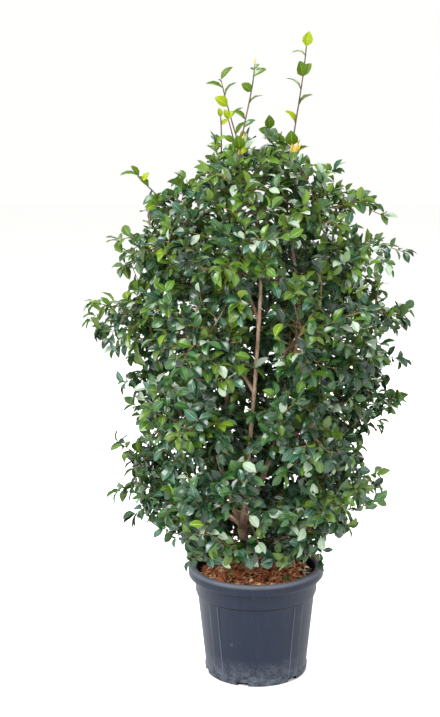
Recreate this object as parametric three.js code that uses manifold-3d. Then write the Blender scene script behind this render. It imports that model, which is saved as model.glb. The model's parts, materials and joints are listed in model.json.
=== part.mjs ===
// A potted camellia shrub, about 1.55 m tall from the underside of its pot to the tip of its tallest shoot.
// Millimetres, +Z up, +X to the plant's right and -Y to its front. The origin is the middle of the pot's
// underside.
//
// The pot, the potting bark, the trunk and every limb are plain closed solids. Each mass of foliage is one
// solid: a spine that carries on from its limb, twigs that leave the spine by the golden angle, and a blade for
// each spray of leaves, all drawn from one seed per mass.

import * as THREE from 'three';
import { mergeVertices } from 'three/addons/utils/BufferGeometryUtils.js';
import Module from 'manifold-3d';

const wasm = await Module();
wasm.setup();

// ---------------------------------------------------------------- driving dimensions

const CLEARANCE = 0.3;                 // between solids that meet
const UP = new THREE.Vector3(0, 0, 1);
const GOLDEN_TURN = THREE.MathUtils.degToRad(137.5);

const POT = {
  height: 271,
  rimRadius: 166.5,
  rimHeight: 27,                       // the rolled band round the top
  rimRoll: 8,                          // how far its round top runs inwards and down
  collarHeight: 40,                    // the plain band under the rim
  collarProud: 2.5,                     // how far that band stands out from the wall
  baseRadius: 125.5,
  shoulderRadius: 147,                 // the wall where it meets the collar
  innerBase: 119,
  innerTop: 146,
  floor: 4,
  sides: 32,
  ribs: 4,
  ribTurn: 45,                         // degrees, the first rib
  ribWidth: 27,
  panelDepth: 2.5,                     // how far the wall stands back between its ribs
  panelFoot: 14,
  panelTop: 199,
  notches: 6,
  notchTurn: 15,                       // degrees, the first drain notch
  notchWidth: 28,
  notchHeight: 9,
  notchDepth: 22,
};

// Heights of the potting bark at its edge, half-way up its slope and in its level middle, with the radii of the
// last two.
const SOIL = { edge: 244, slope: 252, slopeRadius: 98, top: 256, flat: 48, gap: 0.45 };

const TRUNK = {
  foot: [-14, 0], forkHeight: 362, fork: [-36, -8],
  flare: 19, radius: 10.5, forkRadius: 9.6, flareHeight: 30, sides: 10, steps: 8,
  firstBough: 0.42, boughStep: 0.16,   // how far up it the skirt's boughs leave
};

const STEM = { tipRadius: 3.3, sides: 7, steps: 6 };

// The five main stems that leave the fork. Each rises by way of its belly to the foot of a top mass.
const STEMS = [
  { name: 'front', start: 0.97, belly: [0, -178, 800], foot: [12, -118, 1062], radius: 6.0 },
  { name: 'right', start: 0.99, belly: [84, -66, 760], foot: [82, -40, 1060], radius: 6.6 },
  { name: 'back_right', start: 0.86, belly: [80, 104, 740], foot: [46, 76, 1066], radius: 5.8 },
  { name: 'back_left', start: 0.92, belly: [-76, 112, 740], foot: [-54, 78, 1060], radius: 5.8 },
  { name: 'left', start: 0.95, belly: [-128, -34, 740], foot: [-120, -22, 1040], radius: 6.2 },
];

// The masses that close the top of the crown, one on each stem: where the spine ends, and the long shoots that
// leave the spine nearest to one point and end at another.
const TOPS = [
  {
    stem: 'front',
    tip: [-34, -92, 1212],
    shoots: [
      { from: [-30, -95, 1195], to: [-5, -62, 1450], leaves: 7 },
      { from: [12, -118, 1062], to: [-76, 10, 1418], leaves: 6 },
      { from: [-10, -110, 1120], to: [-63, -40, 1349], leaves: 4 },
    ],
  },
  {
    stem: 'right',
    tip: [138, -60, 1160],
    shoots: [
      { from: [82, -40, 1060], to: [114, -24, 1512], leaves: 8 },
      { from: [120, -50, 1130], to: [240, -60, 1172], leaves: 5 },
    ],
  },
  {
    stem: 'back_right',
    tip: [105, 110, 1165],
    shoots: [{ from: [44, 70, 1100], to: [32, 52, 1323], leaves: 5 }],
  },
  {
    stem: 'back_left',
    tip: [-90, 110, 1190],
    shoots: [{ from: [-70, 85, 1130], to: [-83, 60, 1350], leaves: 4 }],
  },
  {
    stem: 'left',
    tip: [-168, -34, 1120],
    shoots: [{ from: [-150, -34, 1090], to: [-272, -44, 1222], leaves: 4 }],
  },
];

// The tiers of side masses, from the skirt over the pot's rim to the shoulder of the crown. Height is that of
// the spine's tip, rise is how much lower its bough leaves the stem, and the reaches are those of the furthest
// leaf on the left, on the right, and to the front and back.
const TIERS = [
  {
    name: 'skirt', height: 388, rise: 55,
    left: 238, right: 240, depth: 240, turns: [-142, -36, 88],
  },
  {
    name: 'low', height: 486, rise: 120,
    left: 342, right: 322, depth: 320, turns: [176, -116, -42, 30, 102],
  },
  {
    name: 'middle', height: 678, rise: 150,
    left: 342, right: 348, depth: 345, turns: [10, 82, 152, -136, -62],
  },
  {
    name: 'wide', height: 904, rise: 170,
    left: 378, right: 378, depth: 350, turns: [179, 112, 60, -2, -64, -116],
  },
  {
    name: 'shoulder', height: 1052, rise: 150,
    left: 360, right: 316, depth: 318, turns: [-12, 72, 164, -102],
  },
];

const FIRST_SEED = 2;                  // of the first mass; each next mass has the next number
const BOUGH = {
  share: 0.44,                         // how much of its mass's reach it spans
  sink: 0.42,                          // how much of the rise its tip stays below the spine's tip
  climb: 0.55, pull: 0.3,              // how steeply it ends, and how strongly it curves
  tipRadius: 3.2, rootShare: 0.62, rootProud: 0.8, sides: 5, steps: 3,
};
const SPINE = {
  radius: 4.2, tipRadius: 3.2, sides: 3, steps: 2,
  climb: 0.35, topClimb: 120, pull: 0.34,
  short: 0.8,                          // how much of a spray's length the spine ends short of the reach
  sprays: [[0.97, 0, 8], [0.86, Math.PI, 62], [0.74, 0, 62], [0.6, 2, 62], [0.4, 5, 62]],
};
const TWIG = {
  count: 5, first: 0.14, last: 0.9, radius: 2.7, tipRadius: 2.3, spread: 62, sides: 3, steps: 1,
  reach: 96, vary: [0.82, 1.12], shorter: 0.3, turnBy: 0.4, lift: 0.1, climb: 0.35, pull: 0.33,
  tested: [0.35, 0.7, 1], spare: 2,
  sprays: [0.5, 0.96], tipAngle: 30,
};
const BLADE = { waist: 0.44, ridge: 0.35 };        // how far along a blade its edges and its ridge are widest
const BLADE_TEST = [
  [0.25, -0.6], [0.25, 0.6], [0.45, -1], [0.45, 0], [0.45, 1], [0.72, -0.5], [0.72, 0.5], [1, 0],
];
const SPRAY = {
  length: 104, width: 74, ridge: 9, droop: 12, sunk: 1.2,
  angle: 62, hang: 0.45, tries: 9, shrink: 0.93, vary: [0.9, 1.12], turnBy: 0.3, dip: [-0.3, 0.15], roll: 0.4,
};
const SHOOT = {
  radius: 3, tipRadius: 2.2, sides: 3, steps: 3, pull: 0.3,
  firstLeaf: 0.3, leafSpan: 0.68, leafAngle: 40, tipAngle: 14,
  leaf: { length: 58, width: 32, ridge: 4, droop: 6, sunk: 1.2 },
};
const CROWN = { middle: 640, upright: 0.5, skyward: 0.45 };   // its middle, and how much leaves face up
const LOWEST_LEAF = POT.height + 8;
const SPACE = { cell: 3, limb: 8 };    // least distance to the next mass's space, and to any limb's surface
const TEST_STEPS = { limb: 8, spine: 4, stem: 40, shoot: 20 };   // straight pieces that a curve is tested by

// Ways through the foliage where a limb shows from the front: x limits, and height limits at y = 0 on a line
// that rises by slope towards the front.
const WINDOWS = [
  { x: [-20, 26], height: [690, 960], slope: 0.195, behind: -150 },
  { x: [-62, -8], height: [336, 392], slope: 0.337, behind: -24 },
];

const COLOURS = {
  pot: { color: 0x454b5c, roughness: 0.62 },
  soil: { color: 0x7a4630, roughness: 0.95 },
  bark: { color: 0x8a6f52, roughness: 0.85 },
  leaf: { color: 0x2f6238, roughness: 0.38 },
};

// ---------------------------------------------------------------- joining and cutting

function solid(geometry) {
  const bare = geometry.clone();
  bare.deleteAttribute('normal');
  bare.deleteAttribute('uv');
  const merged = mergeVertices(bare, 1e-3);
  const index = merged.index.array;
  const triVerts = [];
  for (let i = 0; i < index.length; i += 3) {
    const [a, b, c] = index.slice(i, i + 3);
    if (a !== b && b !== c && c !== a) triVerts.push(a, b, c);
  }
  const vertProperties = new Float32Array(merged.attributes.position.array);
  const mesh = new wasm.Mesh({ numProp: 3, vertProperties, triVerts: new Uint32Array(triVerts) });
  return new wasm.Manifold(mesh);
}

// The largest body of a solid, without the hollows that fusing sealed or any loose scrap.
function oneBody(body) {
  const bodies = body.decompose();
  return bodies.reduce((best, next) => (next.volume() > best.volume() ? next : best));
}

function meshOf(name, body, finish) {
  const { vertProperties, triVerts } = body.getMesh();
  const geometry = new THREE.BufferGeometry();
  geometry.setAttribute('position', new THREE.BufferAttribute(new Float32Array(vertProperties), 3));
  geometry.setIndex(new THREE.BufferAttribute(new Uint32Array(triVerts), 1));
  geometry.computeVertexNormals();
  const mesh = new THREE.Mesh(geometry, new THREE.MeshStandardMaterial({ metalness: 0, ...finish }));
  mesh.name = name;
  return mesh;
}

// ---------------------------------------------------------------- curves and limbs

function seeded(seed) {
  let state = (seed * 7919 + 104729) % 2147483647;
  return (low = 0, high = 1) => {
    state = (state * 48271) % 2147483647;
    return low + ((high - low) * state) / 2147483647;
  };
}

function polar(turn, reach, height) {
  const angle = THREE.MathUtils.degToRad(turn);
  return new THREE.Vector3(Math.cos(angle) * reach, Math.sin(angle) * reach, height);
}

function curveBetween(start, startHeading, end, endHeading, pull = 0.38) {
  const reach = start.distanceTo(end) * pull;
  return new THREE.CubicBezierCurve3(
    start.clone(),
    start.clone().addScaledVector(startHeading, reach),
    end.clone().addScaledVector(endHeading, -reach),
    end.clone(),
  );
}

// Two directions square to a heading: one level, one in the heading's upright plane.
function squareTo(heading) {
  const level = new THREE.Vector3().crossVectors(heading, UP);
  if (level.length() < 1e-3) level.set(1, 0, 0);
  level.normalize();
  return [level, new THREE.Vector3().crossVectors(level, heading).normalize()];
}

// A cylinder whose rings are set along a curve, with its own radius at each ring. The ends are flat.
function limbGeometry(curve, radiusAt, sides, steps) {
  const geometry = new THREE.CylinderGeometry(1, 1, 1, sides, steps);
  const frames = curve.computeFrenetFrames(steps, false);
  const centres = Array.from({ length: steps + 1 }, (_, i) => curve.getPointAt(i / steps));
  const position = geometry.attributes.position;
  const point = new THREE.Vector3();
  for (let i = 0; i < position.count; i += 1) {
    const ring = Math.round((position.getY(i) + 0.5) * steps);
    const radius = radiusAt(ring / steps);
    point.copy(centres[ring]);
    point.addScaledVector(frames.normals[ring], position.getX(i) * radius);
    point.addScaledVector(frames.binormals[ring], -position.getZ(i) * radius);
    position.setXYZ(i, point.x, point.y, point.z);
  }
  return geometry;
}

const taper = (root, tip) => (t) => root + (tip - root) * t;

// A leaf or a spray of leaves: a sphere of three sides and two rows, whose poles are its root and its tip and
// whose waist is its left edge, its right edge and the ridge of its upper face.
function bladeGeometry(root, heading, face, { length, width, ridge, droop, sunk }) {
  const geometry = new THREE.SphereGeometry(1, 3, 2);
  const side = new THREE.Vector3().crossVectors(heading, face).normalize();
  const position = geometry.attributes.position;
  const point = new THREE.Vector3();
  for (let i = 0; i < position.count; i += 1) {
    const pole = Math.round(position.getY(i));
    const corner = i % 4;              // 0 and 3 are one seam of the sphere
    point.copy(root);
    if (pole) {
      point.addScaledVector(heading, pole > 0 ? length : -sunk).addScaledVector(face, pole > 0 ? -droop : 0);
    } else {
      const across = { 0: 0, 1: 0.5, 2: -0.5, 3: 0 }[corner];
      point.addScaledVector(heading, length * (across ? BLADE.waist : BLADE.ridge));
      point.addScaledVector(side, across * width).addScaledVector(face, across ? 0 : ridge);
    }
    position.setXYZ(i, point.x, point.y, point.z);
  }
  return geometry;
}

// ---------------------------------------------------------------- pot and potting bark

function lathe(profile) {
  const points = profile.map(([radius, height]) => new THREE.Vector2(radius, height));
  const geometry = new THREE.LatheGeometry(points, POT.sides);
  return solid(geometry.rotateX(Math.PI / 2));
}

function block(width, depth, height, turn, radius, centreHeight) {
  const geometry = new THREE.BoxGeometry(depth, width, height);
  geometry.translate(radius, 0, centreHeight);
  return solid(geometry.rotateZ(THREE.MathUtils.degToRad(turn)));
}

function makePot() {
  const rimFoot = POT.height - POT.rimHeight;
  const collarFoot = rimFoot - POT.collarHeight;
  const collarRadius = POT.shoulderRadius + POT.collarProud;
  let pot = lathe([
    [0, 0],
    [POT.baseRadius, 0],
    [POT.shoulderRadius, collarFoot],
    [collarRadius, collarFoot + 2],
    [collarRadius + 2, rimFoot],
    [POT.rimRadius - 2, rimFoot + 1],
    [POT.rimRadius, rimFoot + 6],
    [POT.rimRadius, POT.height - POT.rimRoll],
    [POT.rimRadius - 3, POT.height - 2],
    [POT.rimRadius - POT.rimRoll, POT.height],
    [POT.innerTop + 1, POT.height - 2],
    [POT.innerTop, POT.height - 6],
    [POT.innerBase, POT.floor],
    [0, POT.floor],
  ]);
  const wallAt = (height) => THREE.MathUtils.mapLinear(
    height, 0, collarFoot, POT.baseRadius, POT.shoulderRadius) - POT.panelDepth;
  const outside = POT.rimRadius * 1.05;
  let panels = lathe([
    [wallAt(POT.panelFoot), POT.panelFoot],
    [outside, POT.panelFoot],
    [outside, POT.panelTop],
    [wallAt(POT.panelTop), POT.panelTop],
    [wallAt(POT.panelFoot), POT.panelFoot],
  ]);
  const ribDepth = outside - POT.baseRadius / 2;
  for (let i = 0; i < POT.ribs; i += 1) {
    const turn = POT.ribTurn + (i * 360) / POT.ribs;
    const middle = (outside + POT.baseRadius) / 2;
    panels = panels.subtract(block(POT.ribWidth, ribDepth, POT.height * 2, turn, middle, POT.height / 2));
  }
  pot = pot.subtract(panels);
  for (let i = 0; i < POT.notches; i += 1) {
    const turn = POT.notchTurn + (i * 360) / POT.notches;
    pot = pot.subtract(block(POT.notchWidth, POT.notchDepth, POT.notchHeight * 2, turn, POT.baseRadius, 0));
  }
  return oneBody(pot);
}

function makeSoil() {
  const innerAt = (height) => THREE.MathUtils.mapLinear(
    height, POT.floor, POT.height - 6, POT.innerBase, POT.innerTop) - SOIL.gap;
  const floor = POT.floor + CLEARANCE;
  return lathe([
    [0, floor],
    [innerAt(floor), floor],
    [innerAt(SOIL.edge), SOIL.edge],
    [SOIL.slopeRadius, SOIL.slope],
    [SOIL.flat, SOIL.top],
    [0, SOIL.top],
  ]);
}

// ---------------------------------------------------------------- where the limbs and masses lie

const limbs = [];                      // { name, curve, sides, steps, radiusAt, line }

const lineOf = (curve, steps) => Array.from({ length: steps + 1 }, (_, i) => curve.getPointAt(i / steps));

function addLimb(name, curve, radiusAt, sides, steps) {
  const limb = { name, curve, sides, steps, radiusAt, line: lineOf(curve, TEST_STEPS.limb) };
  limbs.push(limb);
  return limb;
}

function layTrunk() {
  const foot = new THREE.Vector3(...TRUNK.foot, SOIL.top + CLEARANCE);
  const fork = new THREE.Vector3(...TRUNK.fork, TRUNK.forkHeight);
  const curve = curveBetween(foot, UP, fork, fork.clone().sub(foot).normalize());
  const height = fork.z - foot.z;
  const radiusAt = (t) => {
    const flare = Math.max(0, 1 - (t * height) / TRUNK.flareHeight) ** 2;
    return taper(TRUNK.radius, TRUNK.forkRadius)(t) + (TRUNK.flare - TRUNK.radius) * flare;
  };
  return addLimb('trunk', curve, radiusAt, TRUNK.sides, TRUNK.steps);
}

function layStem(trunk, stem) {
  const start = trunk.curve.getPointAt(stem.start);
  const belly = new THREE.Vector3(...stem.belly);
  const foot = new THREE.Vector3(...stem.foot);
  const pull = belly.multiplyScalar(2).addScaledVector(start, -0.5).addScaledVector(foot, -0.5);
  const curve = new THREE.CubicBezierCurve3(
    start,
    start.clone().lerp(pull, 2 / 3),
    foot.clone().lerp(pull, 2 / 3),
    foot,
  );
  return addLimb(`stem_${stem.name}`, curve, taper(stem.radius, STEM.tipRadius), STEM.sides, STEM.steps);
}

// The stem, and the share along it, nearest to a place 100 mm out on that side at that height.
function nearestStem(stems, turn, height) {
  const wanted = polar(turn, 100, height);
  let best = null;
  for (const stem of stems) {
    for (let i = 0; i <= TEST_STEPS.stem; i += 1) {
      const t = i / TEST_STEPS.stem;
      const point = stem.curve.getPointAt(t);
      const apart = Math.abs(point.z - height) * 2 + Math.hypot(point.x - wanted.x, point.y - wanted.y);
      if (!best || apart < best.apart) best = { stem, t, apart };
    }
  }
  return best;
}

const masses = [];                     // { name, curve, shoots, lines }

function reachAt(tier, turn) {
  const angle = THREE.MathUtils.degToRad(turn);
  const across = Math.cos(angle) < 0 ? tier.left : tier.right;
  return 1 / Math.hypot(Math.cos(angle) / across, Math.sin(angle) / tier.depth);
}

function laySideMass(stems, trunk, tier, turn, index) {
  const reach = reachAt(tier, turn);
  const tip = polar(turn, reach - SPRAY.length * SPINE.short, tier.height);
  const foot = polar(turn, reach * BOUGH.share, tier.height - tier.rise * BOUGH.sink);
  const out = polar(turn, 1, 0);
  const root = tier.name === 'skirt'
    ? { stem: trunk, t: TRUNK.firstBough + TRUNK.boughStep * index }
    : nearestStem(stems, turn, tier.height - tier.rise);
  const start = root.stem.curve.getPointAt(root.t);
  const heading = out.clone().addScaledVector(UP, BOUGH.climb).normalize();
  const leave = foot.clone().sub(start).normalize();
  const name = `${tier.name}_${index + 1}`;
  const bough = curveBetween(start, leave, foot, heading, BOUGH.pull);
  const rootRadius = Math.max(BOUGH.tipRadius + BOUGH.rootProud, root.stem.radiusAt(root.t) * BOUGH.rootShare);
  addLimb(`bough_${name}`, bough, taper(rootRadius, BOUGH.tipRadius), BOUGH.sides, BOUGH.steps);
  const spineStart = foot.clone().addScaledVector(heading, CLEARANCE);
  const end = out.clone().addScaledVector(UP, SPINE.climb).normalize();
  const curve = curveBetween(spineStart, heading, tip, end, SPINE.pull);
  masses.push({ name: `foliage_${name}`, curve, shoots: [] });
}

// A long shoot: from the tested point of the spine that is nearest to one place, to another place.
function layShoot(spine, { from, to, leaves }) {
  const wanted = new THREE.Vector3(...from);
  const end = new THREE.Vector3(...to);
  const apart = lineOf(spine, TEST_STEPS.shoot).map((point) => point.distanceTo(wanted));
  const t = apart.indexOf(Math.min(...apart)) / TEST_STEPS.shoot;
  const root = spine.getPointAt(t);
  const heading = end.clone().sub(root).normalize();
  return { curve: curveBetween(root, spine.getTangentAt(t), end, heading, SHOOT.pull), leaves };
}

function layTopMass(stem, top) {
  const heading = stem.curve.getTangentAt(1);
  const tip = new THREE.Vector3(...top.tip);
  const start = stem.curve.getPointAt(1).addScaledVector(heading, CLEARANCE);
  const end = tip.clone().sub(start).setZ(SPINE.topClimb).normalize();
  const curve = curveBetween(start, heading, tip, end, SPINE.pull);
  const shoots = top.shoots.map((shoot) => layShoot(curve, shoot));
  masses.push({ name: `foliage_top_${top.stem}`, curve, shoots });
}

const trunk = layTrunk();
const stems = STEMS.map((stem) => layStem(trunk, stem));
for (const tier of TIERS) tier.turns.forEach((turn, index) => laySideMass(stems, trunk, tier, turn, index));
TOPS.forEach((top, index) => layTopMass(stems[index], top));
for (const mass of masses) {
  const curves = [mass.curve, ...mass.shoots.map((shoot) => shoot.curve)];
  mass.lines = curves.map((curve) => lineOf(curve, TEST_STEPS.spine));
}

// ---------------------------------------------------------------- keeping to a mass's own space

const closest = new THREE.Vector3();
const piece = new THREE.Line3();

function distanceToLine(point, line) {
  let best = Infinity;
  for (let i = 1; i < line.length; i += 1) {
    piece.set(line[i - 1], line[i]).closestPointToPoint(point, true, closest);
    best = Math.min(best, closest.distanceTo(point));
  }
  return best;
}

const distanceToMass = (point, mass) => Math.min(...mass.lines.map((line) => distanceToLine(point, line)));

function isOpen(point) {
  return WINDOWS.some(({ x, height, slope, behind }) => {
    const level = point.z + slope * point.y;
    return point.y < behind && point.x > x[0] && point.x < x[1] && level > height[0] && level < height[1];
  });
}

function isFree(point, mass, spare) {
  if (isOpen(point)) return false;
  if (point.z < LOWEST_LEAF) return false;
  const own = distanceToMass(point, mass);
  if (masses.some((other) => other !== mass && distanceToMass(point, other) < own + SPACE.cell)) return false;
  return limbs.every((limb) => distanceToLine(point, limb.line) > limb.radiusAt(0) + spare);
}

function bladePoints(root, heading, face, { length, width, droop }) {
  const side = new THREE.Vector3().crossVectors(heading, face).normalize();
  return BLADE_TEST.map(([along, across]) => {
    const sag = Math.max(0, along - 0.45) * droop * 1.8;
    const point = root.clone().addScaledVector(heading, along * length);
    return point.addScaledVector(side, (across * width) / 2).addScaledVector(face, -sag);
  });
}

// ---------------------------------------------------------------- the growth rule

function outwardAt(point) {
  return new THREE.Vector3(point.x, point.y, (point.z - CROWN.middle) * CROWN.upright).normalize();
}

function faceFor(root, heading, roll) {
  const face = outwardAt(root).addScaledVector(UP, CROWN.skyward);
  face.addScaledVector(heading, -face.dot(heading)).normalize();
  return face.applyAxisAngle(heading, roll);
}

// The point at t on the straight pieces that a limb of so many steps is made of.
function pointOn(curve, steps, t) {
  const step = Math.min(steps - 1, Math.floor(t * steps));
  return curve.getPointAt(step / steps).lerp(curve.getPointAt((step + 1) / steps), t * steps - step);
}

// Square to a curve at t: the curve's heading turned away from it by spread, towards the side that turn gives.
function headingFrom(curve, t, turn, spread) {
  const along = curve.getTangentAt(t);
  const [level, upright] = squareTo(along);
  const around = level.multiplyScalar(Math.cos(turn)).addScaledVector(upright, Math.sin(turn));
  const angle = THREE.MathUtils.degToRad(spread);
  return along.multiplyScalar(Math.cos(angle)).addScaledVector(around, Math.sin(angle)).normalize();
}

function layTwigs(mass, seed) {
  const draw = seeded(seed);
  const twigs = [];
  for (let k = 0; k < TWIG.count; k += 1) {
    const t = TWIG.first + ((TWIG.last - TWIG.first) * k) / (TWIG.count - 1);
    const turn = k * GOLDEN_TURN + draw(-TWIG.turnBy, TWIG.turnBy) + seed;
    const reach = TWIG.reach * draw(...TWIG.vary) * (1 - TWIG.shorter * t);
    const root = pointOn(mass.curve, SPINE.steps, t);
    const heading = headingFrom(mass.curve, t, turn, TWIG.spread);
    const end = root.clone().addScaledVector(heading, reach).addScaledVector(UP, reach * TWIG.lift);
    const climb = heading.clone().addScaledVector(UP, TWIG.climb).normalize();
    const curve = curveBetween(root, heading, end, climb, TWIG.pull);
    const free = TWIG.tested.every((s) => isFree(curve.getPointAt(s), mass, TWIG.radius + TWIG.spare));
    twigs.push({ curve, t, turn, free });
  }
  return twigs;
}

// Where each spray of a mass roots: on which curve, how far along it, on which side and at what angle.
function laySprays(mass, twigs) {
  const sprays = [];
  const spineSpray = (t, turn, angle) => {
    sprays.push({ curve: mass.curve, steps: SPINE.steps, t, turn, angle, size: SPRAY });
  };
  for (const { curve, t, turn, free } of twigs) {
    if (free) {
      const [middle, tip] = TWIG.sprays;
      sprays.push({ curve, steps: TWIG.steps, t: middle, turn, angle: SPRAY.angle, size: SPRAY });
      sprays.push({ curve, steps: TWIG.steps, t: tip, turn: turn + Math.PI, angle: TWIG.tipAngle, size: SPRAY });
    } else {
      spineSpray(t, turn, SPRAY.angle);
    }
  }
  for (const row of SPINE.sprays) spineSpray(...row);
  for (const { curve, leaves } of mass.shoots) {
    for (let k = 0; k < leaves; k += 1) {
      const t = SHOOT.firstLeaf + (SHOOT.leafSpan * k) / (leaves - 1);
      const angle = k === leaves - 1 ? SHOOT.tipAngle : SHOOT.leafAngle;
      sprays.push({ curve, steps: SHOOT.steps, t, turn: k * GOLDEN_TURN, angle, size: SHOOT.leaf });
    }
  }
  return sprays;
}

const boxesMeet = (a, b) => [0, 1, 2].every((i) => a.min[i] <= b.max[i] && b.min[i] <= a.max[i]);

function growMass(mass, seed) {
  const placed = [];
  const placeTube = (curve, { radius, tipRadius, sides, steps }) => {
    const body = solid(limbGeometry(curve, taper(radius, tipRadius), sides, steps));
    placed.push({ body, curve, box: body.boundingBox() });
  };
  placeTube(mass.curve, SPINE);
  const twigs = layTwigs(mass, seed);
  for (const { curve, free } of twigs) if (free) placeTube(curve, TWIG);
  for (const { curve } of mass.shoots) placeTube(curve, SHOOT);
  laySprays(mass, twigs).forEach((spray, index) => {
    const blade = placeBlade(spray, mass, placed, seeded(seed * 100 + index));
    if (blade) placed.push(blade);
  });
  return oneBody(wasm.Manifold.union(placed.map((item) => item.body)));
}

// A spray's blade at its first free try, shorter and turned a little each time, or null.
function placeBlade(spray, mass, placed, draw) {
  const root = pointOn(spray.curve, spray.steps, spray.t);
  const outward = outwardAt(root);
  for (let tries = 0; tries < SPRAY.tries; tries += 1) {
    const turn = spray.turn + draw(-SPRAY.turnBy, SPRAY.turnBy) * (tries + 2);
    const heading = headingFrom(spray.curve, spray.t, turn, spray.angle);
    heading.addScaledVector(outward, -SPRAY.hang * heading.dot(outward));
    heading.addScaledVector(UP, draw(...SPRAY.dip)).normalize();
    const face = faceFor(root, heading, draw(-SPRAY.roll, SPRAY.roll));
    const grow = draw(...SPRAY.vary) * SPRAY.shrink ** tries;
    const size = { ...spray.size, length: spray.size.length * grow, width: spray.size.width * grow };
    if (!bladePoints(root, heading, face, size).every((point) => isFree(point, mass, SPACE.limb))) continue;
    const body = solid(bladeGeometry(root, heading, face, size));
    const box = body.boundingBox();
    const meets = (other) => boxesMeet(box, other.box) && !other.body.intersect(body).isEmpty();
    if (!placed.some((other) => other.curve !== spray.curve && meets(other))) return { body, box };
  }
  return null;
}

// A limb, cut to stand clear of every limb laid before it.
function makeLimb(limb) {
  const body = solid(limbGeometry(limb.curve, limb.radiusAt, limb.sides, limb.steps));
  const box = body.boundingBox();
  const cut = limbs.slice(0, limbs.indexOf(limb)).reduce((rest, other) => {
    const wider = (t) => other.radiusAt(t) + CLEARANCE;
    const cutter = solid(limbGeometry(other.curve, wider, other.sides, other.steps));
    return boxesMeet(box, cutter.boundingBox()) ? rest.subtract(cutter) : rest;
  }, body);
  return oneBody(cut);
}

// ---------------------------------------------------------------- the plant

const shrub = new THREE.Group();
shrub.add(meshOf('pot', makePot(), COLOURS.pot));
shrub.add(meshOf('potting_bark', makeSoil(), COLOURS.soil));
for (const limb of limbs) shrub.add(meshOf(limb.name, makeLimb(limb), COLOURS.bark));
masses.forEach((mass, index) => {
  shrub.add(meshOf(mass.name, growMass(mass, FIRST_SEED + index), COLOURS.leaf));
});

export default shrub;
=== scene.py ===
# %% [markdown]
# # A potted camellia shrub
# A camellia is an evergreen with small, thick, glossy leaves. This one stands 1.55 m tall in a nursery
# pot full of bark chips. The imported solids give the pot, the limbs and one coarse body for each mass of
# foliage. This lesson dresses them: a moulded pot, loose bark, limbs with real bark relief, and thousands
# of separate leaves that grow on from the same limbs by the same seeded rule.
#
# Blender works in metres here, with +Z up, +X to the plant's right and -Y to its front.

# %% Load the fixed solids
import json
import math

import bpy
import numpy as np
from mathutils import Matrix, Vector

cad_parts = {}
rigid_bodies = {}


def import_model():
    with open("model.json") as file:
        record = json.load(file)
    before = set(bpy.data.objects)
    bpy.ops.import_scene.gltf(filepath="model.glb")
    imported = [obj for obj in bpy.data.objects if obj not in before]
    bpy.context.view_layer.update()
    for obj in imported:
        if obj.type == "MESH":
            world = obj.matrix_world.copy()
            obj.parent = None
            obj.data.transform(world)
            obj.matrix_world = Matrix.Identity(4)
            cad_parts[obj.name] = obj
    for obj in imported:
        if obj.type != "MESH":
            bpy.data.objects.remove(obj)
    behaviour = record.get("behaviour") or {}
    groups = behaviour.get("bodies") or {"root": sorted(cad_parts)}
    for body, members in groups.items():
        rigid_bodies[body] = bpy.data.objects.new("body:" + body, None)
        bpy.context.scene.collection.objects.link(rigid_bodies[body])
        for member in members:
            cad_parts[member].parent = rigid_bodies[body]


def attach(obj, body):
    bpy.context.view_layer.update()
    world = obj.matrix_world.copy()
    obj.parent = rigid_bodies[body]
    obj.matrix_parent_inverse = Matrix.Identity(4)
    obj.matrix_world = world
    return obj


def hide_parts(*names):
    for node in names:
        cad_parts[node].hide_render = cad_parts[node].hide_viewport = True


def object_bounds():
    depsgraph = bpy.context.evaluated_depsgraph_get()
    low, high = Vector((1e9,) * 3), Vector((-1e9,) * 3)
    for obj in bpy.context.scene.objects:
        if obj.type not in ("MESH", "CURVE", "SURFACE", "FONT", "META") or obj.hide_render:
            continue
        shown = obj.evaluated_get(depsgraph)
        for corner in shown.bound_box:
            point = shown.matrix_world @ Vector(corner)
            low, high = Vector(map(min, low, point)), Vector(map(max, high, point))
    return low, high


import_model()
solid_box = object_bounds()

print("solids from", [round(v, 3) for v in solid_box[0]], "to", [round(v, 3) for v in solid_box[1]])

# %% [markdown]
# ## The camera
# A long lens from 3.3 m away keeps the tall plant free of distortion. The camera stands near the height
# of the top shoots and looks a little down, so the bark in the pot shows over its rim. The plant stands
# right of the middle of the picture, which a small lens shift gives without turning the camera.

# %% The camera
CAMERA_PLACE = (0.0, -3.302, 1.4702)
CAMERA_PITCH = 11.734                 # degrees below level
LENS = 70.88                          # millimetres, on a sensor 36 mm tall
PLANT_OFFSET = 36 / 717               # how far right of the middle the plant stands, as a share of the height

camera_data = bpy.data.cameras.new("camera")
camera_data.lens = LENS
camera_data.sensor_width = 36
camera_data.shift_x = -PLANT_OFFSET
camera = bpy.data.objects.new("camera", camera_data)
camera.location = CAMERA_PLACE
camera.rotation_euler = (math.radians(90 - CAMERA_PITCH), 0, 0)
bpy.context.scene.collection.objects.link(camera)
bpy.context.scene.camera = camera
print("camera", CAMERA_PLACE, "lens", LENS)

# %% [markdown]
# ## Colours and material nodes
# Hex colours are written as the eye sees them, in sRGB, while the shader wants linear light. One function
# turns one into the other. A second one adds a node, sets its sockets and links it, whatever its kind.
# The materials below use five kinds of node again and again, so each of those has a short function on top
# of it: noise sized in millimetres, a range, a sum, a colour between two others, and a bump.

# %% Colour and node helpers
PER_METRE = 1000.0                    # a noise scale is this, divided by a feature's size in millimetres


def colour(text):
    """An sRGB hex colour as linear red, green, blue and alpha."""
    parts = [int(text[i:i + 2], 16) / 255 for i in (1, 3, 5)]
    return (*[c / 12.92 if c <= 0.04045 else ((c + 0.055) / 1.055) ** 2.4 for c in parts], 1.0)


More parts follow.
